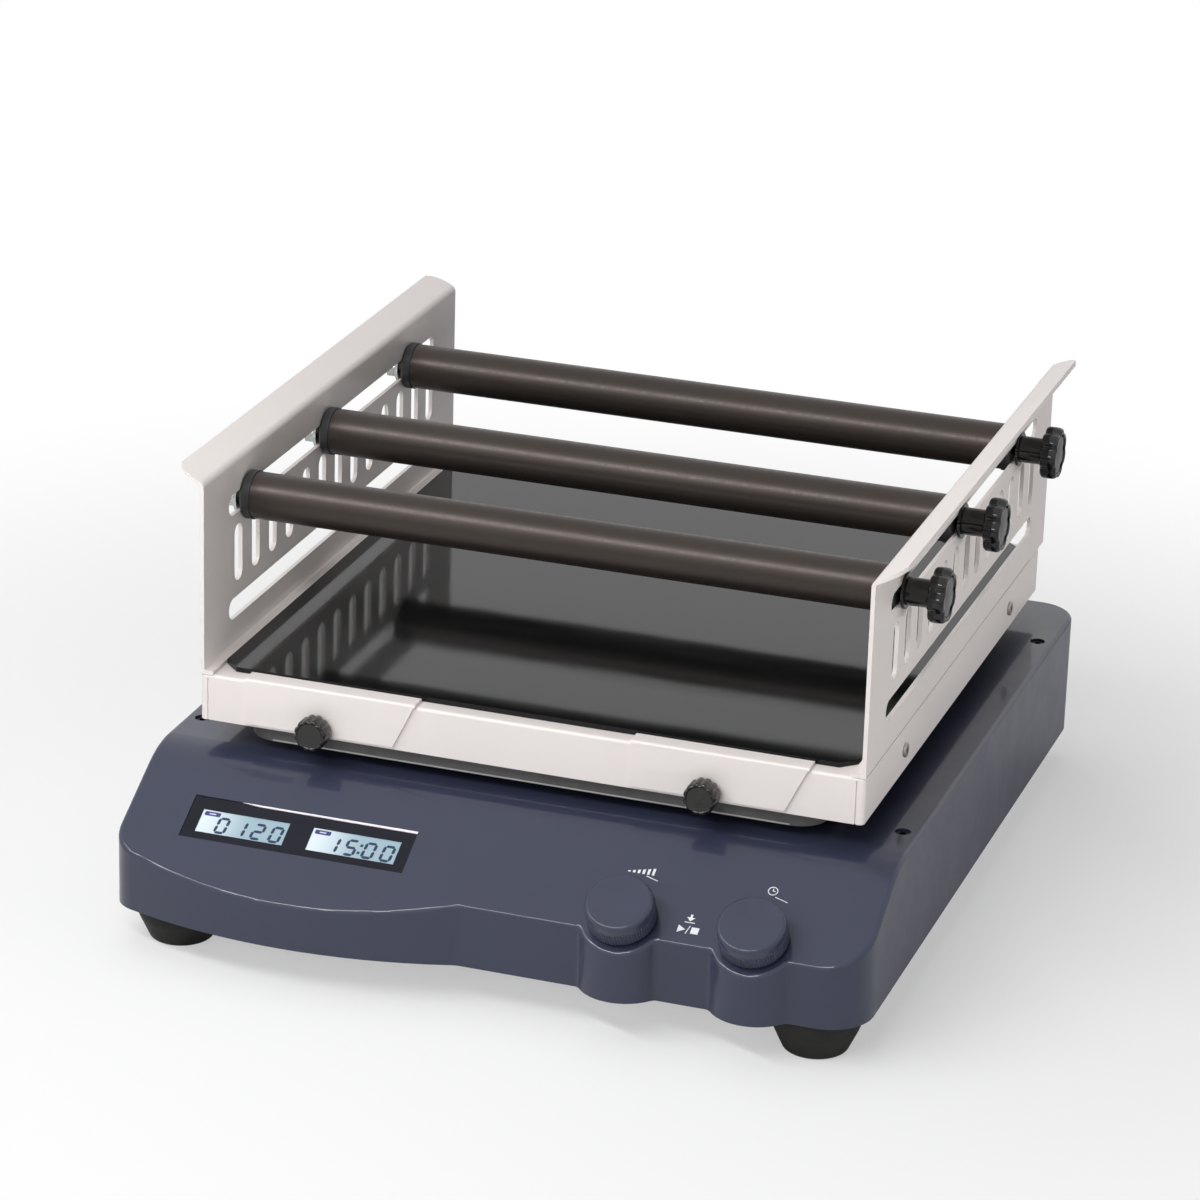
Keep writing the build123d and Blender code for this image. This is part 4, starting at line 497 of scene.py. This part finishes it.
class SHAKER_OT_finish_nodes(bpy.types.Operator):
    """Give every part of the CAD model its paint, metal, rubber or plastic"""

    bl_idname = "shaker.finish_nodes"
    bl_label = "Finish the frame"

    def execute(self, context):
        colours = context.scene.shaker_finishes
        readouts = context.scene.shaker_readouts
        finishes = {
            "housing_paint": sprayed_paint("housing_paint", tuple(colours.housing), 0.4, 0.22, 0.55),
            "knob_grey": moulded("knob_grey", tuple(colours.housing), 0.42, 0.008, 0.26, 0.5),
            "white_paint": sprayed_paint("tray_coat", tuple(colours.tray), 0.36, 0.5, 0.1, 0.009),
            "dark_cast": cast_coating("carriage_coat", tuple(colours.carriage)),
            "steel": turned_metal("ground_steel", screen(176, 176, 178), 0.32),
            "bearing_steel": turned_metal("bearing_steel", screen(200, 200, 202), 0.2),
            "pulley_aluminium": turned_metal(
                "turned_aluminium", screen(208, 209, 212), 0.34, (0.1, 0.1, 1.0)),
            "bar_finish": satin_bar("satin_bar", tuple(colours.bars)),
            "rubber": moulded("moulded_rubber", tuple(colours.rubber), 0.62, 0.03, 0.35),
            "mat_rubber": smooth_rubber("smooth_mat", tuple(colours.mat)),
            "black_plastic": moulded("moulded_caps", tuple(colours.plastic), 0.5),
            "black_gloss": polished("polished_plastic", tuple(colours.gloss)),
            "thumb_black": moulded("thumb_heads", tuple(colours.thumb), 0.34, 0.008, 0.35, 0.15),
            "circuit": lacquered_board("lacquered_board"),
            "motor_paint": cast_coating("motor_coat", screen(52, 54, 58)),
            "zinc_screw": turned_metal("zinc_plate", screen(188, 190, 188), 0.28, (1.0, 1.0, 0.2)),
            "dark_screw": turned_metal("blackened_steel", screen(44, 44, 46), 0.38, (1.0, 1.0, 0.2)),
            "prong_brass": turned_metal("prong_brass", screen(198, 168, 96), 0.26),
        }
        own = {
            "display_bezel": polished("window_tint", tuple(colours.window), 0.16),
            "panel_screws": turned_metal("dull_zinc", screen(168, 163, 158), 0.34, (0.2, 1.0, 1.0)),
        }
        for node, item in NODES.items():
            slot = SLOTS[node]
            if slot == "lcd":
                finish = lit_display(f"{node}_face", node, tuple(readouts.face), tuple(readouts.edge))
            else:
                finish = own.get(node, finishes[slot])
            for material_slot in item.material_slots:
                material_slot.material = finish
        return {"FINISHED"}


DIGIT_LEAN = 0.09
DIGITS_FROM_RIGHT, DIGITS_FROM_FOOT = 2.1, 0.7
COLON_DOTS = (0.28, 0.72)
SEGMENT_GAP = 0.12

# Ends of each segment, as shares of a digit's width and height.
SEGMENTS = {
    "a": ((0, 1), (1, 1)), "b": ((1, 1), (1, 0.5)), "c": ((1, 0.5), (1, 0)), "d": ((0, 0), (1, 0)),
    "e": ((0, 0), (0, 0.5)), "f": ((0, 0.5), (0, 1)), "g": ((0, 0.5), (1, 0.5)),
}
LIT_SEGMENTS = {
    "0": "abcdef", "1": "bc", "2": "abged", "3": "abgcd", "4": "fgbc",
    "5": "afgcd", "6": "afgedc", "7": "abc", "8": "abcdefg", "9": "abfgcd",
}


class SHAKER_OT_add_readouts(bpy.types.Operator):
    """Add the dark segments and the unit flags to both number displays"""

    bl_idname = "shaker.add_readouts"
    bl_label = "Add readouts"

    def execute(self, context):
        settings = context.scene.shaker_readouts
        ink = printed_ink("display_ink", tuple(settings.ink))
        flag_ink = printed_ink("flag_ink", screen(52, 54, 108))
        mark_ink = printed_ink("mark_ink", screen(196, 206, 226))
        for node, reading in (("speed_lcd", settings.speed), ("time_lcd", settings.time)):
            place = slope_place("speed")
            low, high = node_span(node, place)
            self.add_digits(node, place, low, high, reading, settings, ink)
            self.add_flag(node, place, low, high, flag_ink, mark_ink)
        return {"FINISHED"}

    def add_digits(self, node, place, low, high, reading, settings, ink):
        """Digits line up on the right of the face and stand on its lower edge."""
        width, height, pitch, stroke = (
            value / MM for value in (
                settings.digit_width, settings.digit_height, settings.pitch, settings.stroke)
        )
        bm = bmesh.new()
        left = high.x - DIGITS_FROM_RIGHT - width
        foot = low.y + DIGITS_FROM_FOOT
        thick = (high.z - 0.05, high.z + 0.06)
        for mark in reversed(reading):
            if mark == ":":
                middle = left + width + (pitch - width) / 2
                for y in (foot + share * height for share in COLON_DOTS):
                    add_stroke(bm, (middle - stroke / 2, y), (middle + stroke / 2, y), stroke, *thick)
                continue
            for segment in LIT_SEGMENTS[mark]:
                start, end = (
                    Vector((left + stroke / 2 + x * (width - stroke),
                            foot + stroke / 2 + y * (height - stroke)))
                    for x, y in SEGMENTS[segment]
                )
                gap = (end - start).normalized() * SEGMENT_GAP
                add_stroke(bm, start + gap, end - gap, stroke, *thick, stroke / 2)
            left -= pitch
        for vertex in bm.verts:
            vertex.co.x += DIGIT_LEAN * (vertex.co.y - foot)
        make_piece(f"{node}_digits", bm, place, ink, "base")

    def add_flag(self, node, place, low, high, ink, mark_ink):
        """The small dark unit flag in the face's upper left corner, with a pale dash on it."""
        bm = bmesh.new()
        left, foot, top = low.x + 1.2, high.y - 3.2, high.z
        corners = [(0.0, 0.4), (0.4, 0.0), (7.6, 0.0), (8.0, 0.4),
                   (8.0, 2.0), (7.6, 2.4), (0.4, 2.4), (0.0, 2.0)]
        add_slab(bm, [(left + x, foot + y) for x, y in corners], top - 0.05, top + 0.05)
        make_piece(f"{node}_flag", bm, place, ink, "base")
        bm = bmesh.new()
        dash_start, dash_end = (left + 2.2, foot + 1.2), (left + 5.8, foot + 1.2)
        add_stroke(bm, dash_start, dash_end, 0.7, top + 0.02, top + 0.09, 0.35)
        make_piece(f"{node}_flag_mark", bm, place, mark_ink, "base")


class SHAKER_OT_add_window_edge(bpy.types.Operator):
    """Add a pale strip along the display window's upper edge: a painted highlight where the polished
    edge catches the light
    """

    bl_idname = "shaker.add_window_edge"
    bl_label = "Add window edge"

    def execute(self, context):
        place = slope_place("speed")
        low, high = node_span("display_bezel", place)
        # Near-white colour: a painted highlight along the window's upper edge, not the frame's own
        # colour
        edge = Finish("window_edge", screen(236, 230, 236), 0.3)
        edge.tint(edge.noise(60.0, 2.0), 0.9, 1.05)
        bm = bmesh.new()
        outline = [(low.x + 24.0, high.y - 0.1), (low.x + 33.0, high.y - 1.0),
                   (high.x - 0.2, high.y - 1.25), (high.x - 0.2, high.y - 0.05)]
        add_slab(bm, outline, high.z - 0.05, high.z + 0.45)
        make_piece("window_edge", bm, place, edge.material, "base")
        return {"FINISHED"}


class SHAKER_OT_add_panel_seams(bpy.types.Operator):
    """Add a dark line where each side panel stands on the tray's folded lip: painted shade of the thin
    gap between them
    """

    bl_idname = "shaker.add_panel_seams"
    bl_label = "Add panel seams"

    def execute(self, context):
        # Dark grey strip: painted shade in the gap between panel and lip
        finish = moulded("joint_line", screen(96, 90, 86), 0.7)
        tray_low, tray_high = node_box("tray")
        front, back = node_box("side_panel_right")[0].y + 1.5, tray_high.y - 21.0
        sunk, proud = 0.2, 0.03
        for side, x, outward in (("left", tray_low.x, -1), ("right", tray_high.x, 1)):
            near, far = sorted((x - sunk * outward, x + proud * outward))
            bm = bmesh.new()
            outline = [(near, front), (far, front), (far, back), (near, back)]
            add_slab(bm, outline, tray_high.z - 0.16, tray_high.z + 0.12)
            make_piece(f"panel_seam_{side}", bm, Matrix(), finish, "carriage")
        return {"FINISHED"}


class SHAKER_OT_add_screw_recesses(bpy.types.Operator):
    """Add a dark cross to each screw of the side panels: painted shade standing in for the cross recess
    """

    bl_idname = "shaker.add_screw_recesses"
    bl_label = "Add screw recesses"

    def execute(self, context):
        finish = moulded("recess_shade", screen(24, 23, 22), 0.6)
        points = node_points("panel_screws")
        low, high = node_box("panel_screws")
        middle = (low.y + high.y) / 2
        head_depth, arm_share, arm_width, sunk = 1.2, 0.45, 0.8, -0.5
        for side, outward in (("left", -1), ("right", 1)):
            for end, along in (("front", -1), ("rear", 1)):
                heads = [p for p in points if p.x * outward > 0 and (p.y - middle) * along > 0]
                outer = max(p.x * outward for p in heads) * outward
                face = [p for p in heads if abs(p.x - outer) < head_depth]
                ys, zs = [p.y for p in face], [p.z for p in face]
                centre = (outer, (min(ys) + max(ys)) / 2, (min(zs) + max(zs)) / 2)
                arm = arm_share * (max(ys) - min(ys)) / 2
                place = side_place(centre, outward)
                bm = bmesh.new()
                # The dark cross is painted shade of the recess, sunk into the head and standing barely
                # proud of it
                add_stroke(bm, (-arm, 0.0), (arm, 0.0), arm_width, sunk, 0.04)
                add_stroke(bm, (0.0, -arm), (0.0, arm), arm_width, sunk, 0.03)
                make_piece(f"screw_recess_{side}_{end}", bm, place, finish, "carriage")
        return {"FINISHED"}


# Outlines of the turned heads: height from the outer face, radius and share of the flutes.
STAR_RINGS = (
    (-22.5, 3.0, 0), (-22.5, 8.4, 0), (-22.3, 8.7, 0), (-21.1, 8.7, 0), (-20.9, 8.4, 0),
    (-20.9, 6.7, 0), (-11.2, 6.6, 0), (-9.9, 6.8, 0), (-9.4, 7.4, 0), (-9.3, 10.8, 0.6),
    (-9.1, 12.2, 1), (-8.6, 12.8, 1), (-7.7, 13.1, 1), (-5.0, 13.2, 1), (-2.9, 13.1, 1),
    (-1.9, 12.8, 1), (-1.3, 12.3, 1), (-1.0, 11.5, 1), (-1.0, 10.7, 0.9), (-1.15, 10.2, 0.6),
    (-1.6, 9.8, 0.2), (-1.7, 9.2, 0), (-1.5, 6.0, 0), (-1.35, 2.5, 0), (-1.32, 0.6, 0),
)
THUMB_RINGS = (
    (-11.0, 2.5, 0), (-11.0, 5.4, 0), (-9.6, 5.4, 0), (-9.5, 7.0, 0.4), (-9.2, 7.7, 1),
    (-8.5, 8.05, 1), (-5.0, 8.1, 1), (-1.6, 8.05, 1), (-0.8, 7.8, 1), (-0.4, 7.3, 0.9),
    (-0.3, 6.8, 0.5), (-0.45, 6.4, 0.1), (-0.8, 6.1, 0), (-0.85, 5.6, 0), (-0.7, 2.5, 0),
    (-0.65, 0.4, 0),
)


class SHAKER_OT_add_star_knobs(bpy.types.Operator):
    """Replace each bar's star knob by one with soft lobes, a hollow face and a slim stem"""

    bl_idname = "shaker.add_star_knobs"
    bl_label = "Add star knobs"

    def execute(self, context):
        finish = polished("star_gloss", tuple(context.scene.shaker_finishes.gloss), 0.5)
        for name in ("front", "middle", "rear"):
            low, high = node_box(f"star_knob_{name}")
            place = side_place((high.x, (low.y + high.y) / 2, (low.z + high.z) / 2), 1)
            inner = low.x - high.x
            rings = [(inner, 2.6, 0), (inner + 0.4, 3.0, 0), *STAR_RINGS]
            bm = bmesh.new()
            add_turned(bm, 140, rings, flutes=7, flute_depth=1.6)
            piece = make_piece(
                f"star_knob_{name}_lobed", bm, place, finish, f"star_{name}")
            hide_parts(f"star_knob_{name}")
        return {"FINISHED"}


class SHAKER_OT_add_thumb_screws(bpy.types.Operator):
    """Replace the clamps' thumb screws by ones with a slimmer fluted head and a hollow face"""

    bl_idname = "shaker.add_thumb_screws"
    bl_label = "Add thumb screws"

    def execute(self, context):
        base = tuple(context.scene.shaker_finishes.thumb)
        finish = moulded("thumb_gloss", base, 0.24, 0.006, 0.45, 0.2)
        for side in ("left", "right"):
            node = f"thumb_screw_{side}"
            low, high = node_box(node)
            place = front_place(((low.x + high.x) / 2, low.y, (low.z + high.z) / 2))
            inner = low.y - high.y
            rings = [(inner, 2.0, 0), (inner + 0.5, 2.5, 0), *THUMB_RINGS]
            bm = bmesh.new()
            add_turned(bm, 144, rings, flutes=12, flute_depth=0.7)
            piece = make_piece(f"{node}_fluted", bm, place, finish, f"thumb_{side}")
            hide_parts(node)
        return {"FINISHED"}


class SHAKER_OT_add_carriage_rim(bpy.types.Operator):
    """Add a bright metal strip along the lower front of the carriage: partly a trimmed edge, partly a
    painted highlight of that edge
    """

    bl_idname = "shaker.add_carriage_rim"
    bl_label = "Add carriage rim"

    def execute(self, context):
        # Light metal colour: the edge's painted highlight, given as a thin trimmed metal strip
        finish = turned_metal("trimmed_edge", screen(176, 174, 172), 0.4, (0.1, 1.0, 1.0), metallic=0.6)
        points = node_points("carriage")
        front = min(point.y for point in points)
        low, high = span([point for point in points if point.y < front + 0.05])
        near, far = front - 0.12, front + 0.3
        bm = bmesh.new()
        outline = [(low.x, near), (high.x, near), (high.x, far), (low.x, far)]
        add_slab(bm, outline, low.z, low.z + 0.7)
        make_piece("carriage_rim", bm, Matrix(), finish, "carriage")
        return {"FINISHED"}


class SHAKER_OT_add_knob_grips(bpy.types.Operator):
    """Add the finely ribbed band round the skirt of each control knob"""

    bl_idname = "shaker.add_knob_grips"
    bl_label = "Add knob grips"

    def execute(self, context):
        settings = context.scene.shaker_controls
        finish = moulded("knob_grip", tuple(context.scene.shaker_finishes.housing), 0.5)
        valley, lift, shoulder_height, inset = -0.004, 0.25, 0.35, 0.4
        for name in ("speed", "time"):
            place = slope_place(name)
            low, high = node_span(f"{name}_knob", place)
            radius = (high.x - low.x) / 2
            tooth = settings.tooth_depth / MM / radius
            bm = bmesh.new()
            ring = bmesh.ops.create_circle(bm, segments=2 * settings.teeth, radius=radius)
            for index, vertex in enumerate(ring["verts"]):
                vertex.co *= 1 + (tooth if index % 2 else valley)
            bmesh.ops.translate(bm, vec=(0.0, 0.0, low.z + lift), verts=bm.verts)
            foot = list(bm.edges)
            crest = bmesh.ops.extrude_edge_only(bm, edges=foot)
            raised(bm, crest, (0.0, 0.0, settings.grip_height / MM))
            shoulder = bmesh.ops.extrude_edge_only(
                bm, edges=[item for item in crest["geom"] if isinstance(item, bmesh.types.BMEdge)])
            hidden = raised(bm, shoulder, (0.0, 0.0, shoulder_height))
            hem = bmesh.ops.extrude_edge_only(bm, edges=foot)
            hidden += raised(bm, hem, (0.0, 0.0, 0.0))
            for vertex in hidden:
                flat = Vector((vertex.co.x, vertex.co.y)).normalized() * (radius - inset)
                vertex.co = (flat.x, flat.y, vertex.co.z)
            bmesh.ops.bridge_loops(bm, edges=[edge for edge in bm.edges if edge.is_boundary])
            make_piece(f"{name}_knob_grip", bm, place, finish, f"{name}_dial", 20.0)
        return {"FINISHED"}


class SHAKER_OT_add_control_signs(bpy.types.Operator):
    """Add the printed signs beside the knobs: rising bars, clock, push, start and stop"""

    bl_idname = "shaker.add_control_signs"
    bl_label = "Add control signs"

    def execute(self, context):
        settings = context.scene.shaker_controls
        width = settings.print_width / MM
        ink = printed_ink("panel_print", tuple(settings.print_colour))
        signs = (
            ("speed", "speed", self.draw_speed),
            ("time", "time", self.draw_time),
            ("start_stop", "speed", self.draw_start),
        )
        for name, knob, draw in signs:
            place = slope_place(knob)
            surface = slope_height(place)
            bm = bmesh.new()
            draw(bm, width, surface - 0.04, surface + 0.06)
            make_piece(f"{name}_sign", bm, place, ink, "base")
        return {"FINISHED"}

    def draw_speed(self, bm, width, low, high):
        """Six rising bars and the tick that points at the knob."""
        foot, bar_width = 26.4, 1.2
        for index in range(6):
            x, rise = -5.6 + index * 2.3, index * 0.62
            add_slab(bm, [(x, foot), (x + bar_width, foot), (x + bar_width, 27.3 + rise),
                          (x, 27.0 + rise)], low, high)
        add_stroke(bm, (3.7, 25.6), (9.6, 23.8), width, low, high)

    def draw_time(self, bm, width, low, high):
        """A clock face with two hands and the tick that points at the knob."""
        x, y = 0.6, 28.9
        add_ring(bm, (x, y), 2.2, width, low, high)
        add_stroke(bm, (x, y), (x, y + 1.5), width, low, high)
        add_stroke(bm, (x - width / 2, y), (x + 1.2, y), width, low, high)
        add_stroke(bm, (2.6, 25.8), (9.0, 23.8), width, low, high)

    def draw_start(self, bm, width, low, high):
        """An arrow onto a bar for push, then the start triangle and the stop square."""
        add_slab(bm, [(29.0, 7.0), (31.0, 4.9), (33.0, 7.0), (31.55, 7.0), (31.55, 8.7),
                      (30.45, 8.7), (30.45, 7.0)], low, high)
        add_stroke(bm, (28.6, 4.2), (33.4, 4.2), width, low, high)
        add_slab(bm, [(26.4, -2.0), (30.0, 0.1), (26.4, 2.2)], low, high)
        add_stroke(bm, (30.6, -2.2), (31.8, 2.4), width, low, high)
        add_slab(bm, [(32.8, -1.7), (36.4, -1.7), (36.4, 1.9), (32.8, 1.9)], low, high)


def slope_height(place):
    """Height of the painted slope in a slope place, read at a spot clear of both knobs."""
    start = place @ Vector((31.0, 14.0, 30.0))
    down = -(place.to_3x3() @ Vector((0.0, 0.0, 1.0)))
    hit = node_tree("base_housing").ray_cast(start, down)[0]
    if hit is None:
        raise RuntimeError("no painted slope under the signs")
    return (place.inverted() @ hit).z


class SHAKER_OT_add_switch_signs(bpy.types.Operator):
    """Add the moulded line and circle on the mains rocker"""

    bl_idname = "shaker.add_switch_signs"
    bl_label = "Add switch signs"

    def execute(self, context):
        tree = node_tree("power_rocker")
        low, high = node_box("power_rocker")
        ink = printed_ink("switch_print", screen(220, 220, 220))
        for name, share in (("line", 0.78), ("circle", 0.22)):
            start = Vector(((low.x + high.x) / 2, high.y + 20.0, low.z + share * (high.z - low.z)))
            hit, normal = tree.ray_cast(start, Vector((0.0, -1.0, 0.0)))[:2]
            if hit is None:
                raise RuntimeError("no rocker face under the switch sign")
            across = Vector((-1.0, 0.0, 0.0))
            place = place_at(hit, across, normal.cross(across), normal)
            bm = bmesh.new()
            if name == "line":
                add_stroke(bm, (0.0, -1.9), (0.0, 1.9), 0.7, -0.05, 0.08)
            else:
                add_ring(bm, (0.0, 0.0), 1.8, 0.6, -0.05, 0.08, 36)
            make_piece(f"switch_{name}", bm, place, ink, "rocker")
        return {"FINISHED"}


# Each lamp's name, position and size in metres, and whether reflections show it.
LAMPS = (
    ("top_light", (-0.35, 0.15, 1.5), (1.3, 1.3), False),
    ("edge_light", (-0.38, -0.78, 0.97), (1.5, 0.1), True),
    ("front_light", (-0.35, -1.7, 0.75), (1.4, 0.7), False),
    ("side_light", (1.9, -0.3, 0.2), (1.2, 0.3), False),
)
LAMP_TARGET = Vector((0.0, 0.0, 0.1))
FLOOR_RADIUS, FLOOR_DROP = 7.0, 0.0003

# Azimuth, elevation and roll of the photograph's view in degrees, and the camera's place in metres.
CAMERA_ANGLES = (18.332, 21.247, 1.717)
CAMERA_PLACE = (0.664642, -2.040916, 0.966913)


class SHAKER_OT_set_stage(bpy.types.Operator):
    """Add the floor, the soft lights, the pale surroundings and the camera"""

    bl_idname = "shaker.set_stage"
    bl_label = "Set the stage"

    def execute(self, context):
        settings = context.scene.shaker_stage
        self.lay_floor(settings)
        self.fill_world(settings)
        for name, position, size, mirrored in LAMPS:
            lamp = self.hang_lamp(name, Vector(position), size, getattr(settings, name))
            lamp.visible_glossy = mirrored
        self.aim_camera(context, settings)
        context.scene.view_settings.view_transform = "Standard"
        return {"FINISHED"}

    def lay_floor(self, settings):
        """A round pale floor that keeps the shadow near the object and fades to white."""
        paint = Finish("pale_floor", tuple(settings.floor), 0.9, specular=0.1)
        paint.tint(paint.noise(3.0, 2.0), 0.995, 1.0)
        distance = paint.add("ShaderNodeVectorMath", operation="LENGTH")
        paint.link(paint.coordinates, distance.inputs[0])
        fade = paint.add("ShaderNodeMapRange", interpolation_type="SMOOTHSTEP")
        for key, value in zip(("From Min", "From Max", "To Min", "To Max"), (0.25, 0.75, 0.45, 1.0)):
            fade.inputs[key].default_value = value
        paint.link(distance.outputs["Value"], fade.inputs["Value"])
        path = paint.add("ShaderNodeLightPath")
        seen = paint.add("ShaderNodeMath", operation="MULTIPLY")
        paint.link(path.outputs["Is Camera Ray"], seen.inputs[0])
        paint.link(fade.outputs["Result"], seen.inputs[1])
        glow = paint.add("ShaderNodeEmission")
        glow.inputs["Strength"].default_value = 1.0
        mix = paint.add("ShaderNodeMixShader")
        paint.link(seen.outputs["Value"], mix.inputs["Fac"])
        paint.link(paint.shader.outputs["BSDF"], mix.inputs[1])
        paint.link(glow.outputs["Emission"], mix.inputs[2])
        output = paint.tree.nodes["Material Output"]
        paint.link(mix.outputs["Shader"], output.inputs["Surface"])
        bm = bmesh.new()
        bmesh.ops.create_circle(bm, segments=96, radius=FLOOR_RADIUS, cap_ends=True)
        bmesh.ops.translate(bm, vec=(0.0, 0.0, -FLOOR_DROP), verts=bm.verts)
        mesh = bpy.data.meshes.new("floor")
        bm.to_mesh(mesh)
        bm.free()
        mesh.materials.append(paint.material)
        floor = bpy.data.objects.new("floor", mesh)
        bpy.context.scene.collection.objects.link(floor)

    def fill_world(self, settings):
        """Even light all round, and white wherever the camera or a reflection looks past the floor."""
        world = bpy.data.worlds.new("studio")
        bpy.context.scene.world = world
        world.use_nodes = True
        tree = world.node_tree
        ambient = tree.nodes["Background"]
        ambient.inputs["Color"].default_value = (1.0, 1.0, 1.0, 1.0)
        ambient.inputs["Strength"].default_value = settings.ambient
        white = tree.nodes.new("ShaderNodeBackground")
        white.inputs["Strength"].default_value = 1.0
        white.inputs["Color"].default_value = (1.0, 1.0, 1.0, 1.0)
        path = tree.nodes.new("ShaderNodeLightPath")
        seen = path.outputs["Is Camera Ray"]
        for output in ("Is Glossy Ray", "Is Transmission Ray"):
            either = tree.nodes.new("ShaderNodeMath")
            either.operation = "MAXIMUM"
            tree.links.new(seen, either.inputs[0])
            tree.links.new(path.outputs[output], either.inputs[1])
            seen = either.outputs["Value"]
        mix = tree.nodes.new("ShaderNodeMixShader")
        tree.links.new(seen, mix.inputs["Fac"])
        tree.links.new(ambient.outputs["Background"], mix.inputs[1])
        tree.links.new(white.outputs["Background"], mix.inputs[2])
        tree.links.new(mix.outputs["Shader"], tree.nodes["World Output"].inputs["Surface"])

    def hang_lamp(self, name, position, size, power):
        """An area light that looks at the middle of the object."""
        lamp = bpy.data.lights.new(name, "AREA")
        lamp.shape = "RECTANGLE"
        lamp.size, lamp.size_y = size
        lamp.energy = power
        item = bpy.data.objects.new(name, lamp)
        item.location = position
        item.rotation_euler = (LAMP_TARGET - position).to_track_quat("-Z", "Y").to_euler()
        bpy.context.scene.collection.objects.link(item)
        return item

    def aim_camera(self, context, settings):
        """The viewing angle of the photograph, with its slight roll."""
        azimuth, elevation, roll = (math.radians(angle) for angle in CAMERA_ANGLES)
        back = Vector((math.sin(azimuth) * math.cos(elevation),
                       -math.cos(azimuth) * math.cos(elevation), math.sin(elevation)))
        level = Vector((math.cos(azimuth), math.sin(azimuth), 0.0))
        upright = back.cross(level)
        right = level * math.cos(roll) + upright * math.sin(roll)
        up = upright * math.cos(roll) - level * math.sin(roll)
        camera = bpy.data.cameras.new("camera")
        camera.lens = settings.lens
        camera.sensor_width = 36.0
        camera.clip_start = 0.05
        camera.clip_end = 30.0
        item = bpy.data.objects.new("camera", camera)
        item.matrix_world = place_at(CAMERA_PLACE, right, up, back)
        context.scene.collection.objects.link(item)
        context.scene.camera = item


class SHAKER_PT_panel(bpy.types.Panel):
    """Lists the shaker's settings and steps"""

    bl_idname = "SHAKER_PT_panel"
    bl_label = "Orbital Shaker"
    bl_space_type = "VIEW_3D"
    bl_region_type = "UI"
    bl_category = "Shaker"

    def draw(self, context):
        for group, attribute in GROUPS.items():
            settings = getattr(context.scene, attribute)
            box = self.layout.box()
            for name in group.__annotations__:
                box.prop(settings, name)
        for operator in OPERATORS:
            self.layout.operator(operator.bl_idname)


GROUPS = {
    ShakerFinishes: "shaker_finishes",
    ShakerReadouts: "shaker_readouts",
    ShakerControls: "shaker_controls",
    ShakerStage: "shaker_stage",
}
OPERATORS = (
    SHAKER_OT_finish_nodes,
    SHAKER_OT_add_readouts,
    SHAKER_OT_add_window_edge,
    SHAKER_OT_add_panel_seams,
    SHAKER_OT_add_screw_recesses,
    SHAKER_OT_add_star_knobs,
    SHAKER_OT_add_thumb_screws,
    SHAKER_OT_add_carriage_rim,
    SHAKER_OT_add_knob_grips,
    SHAKER_OT_add_control_signs,
    SHAKER_OT_add_switch_signs,
    SHAKER_OT_set_stage,
)


def register():
    """Registers the settings, the steps and the sidebar panel."""
    for group, name in GROUPS.items():
        bpy.utils.register_class(group)
        setattr(bpy.types.Scene, name, PointerProperty(type=group))
    for item in (*OPERATORS, SHAKER_PT_panel):
        bpy.utils.register_class(item)


def unregister():
    """Takes back what register did."""
    for item in (SHAKER_PT_panel, *reversed(OPERATORS)):
        bpy.utils.unregister_class(item)
    for group, name in GROUPS.items():
        delattr(bpy.types.Scene, name)
        bpy.utils.unregister_class(group)


def main():
    """Runs every step in order."""
    register()
    for operator in OPERATORS:
        group, step = operator.bl_idname.split(".")
        getattr(getattr(bpy.ops, group), step)()


if __name__ == "__main__":
    main()
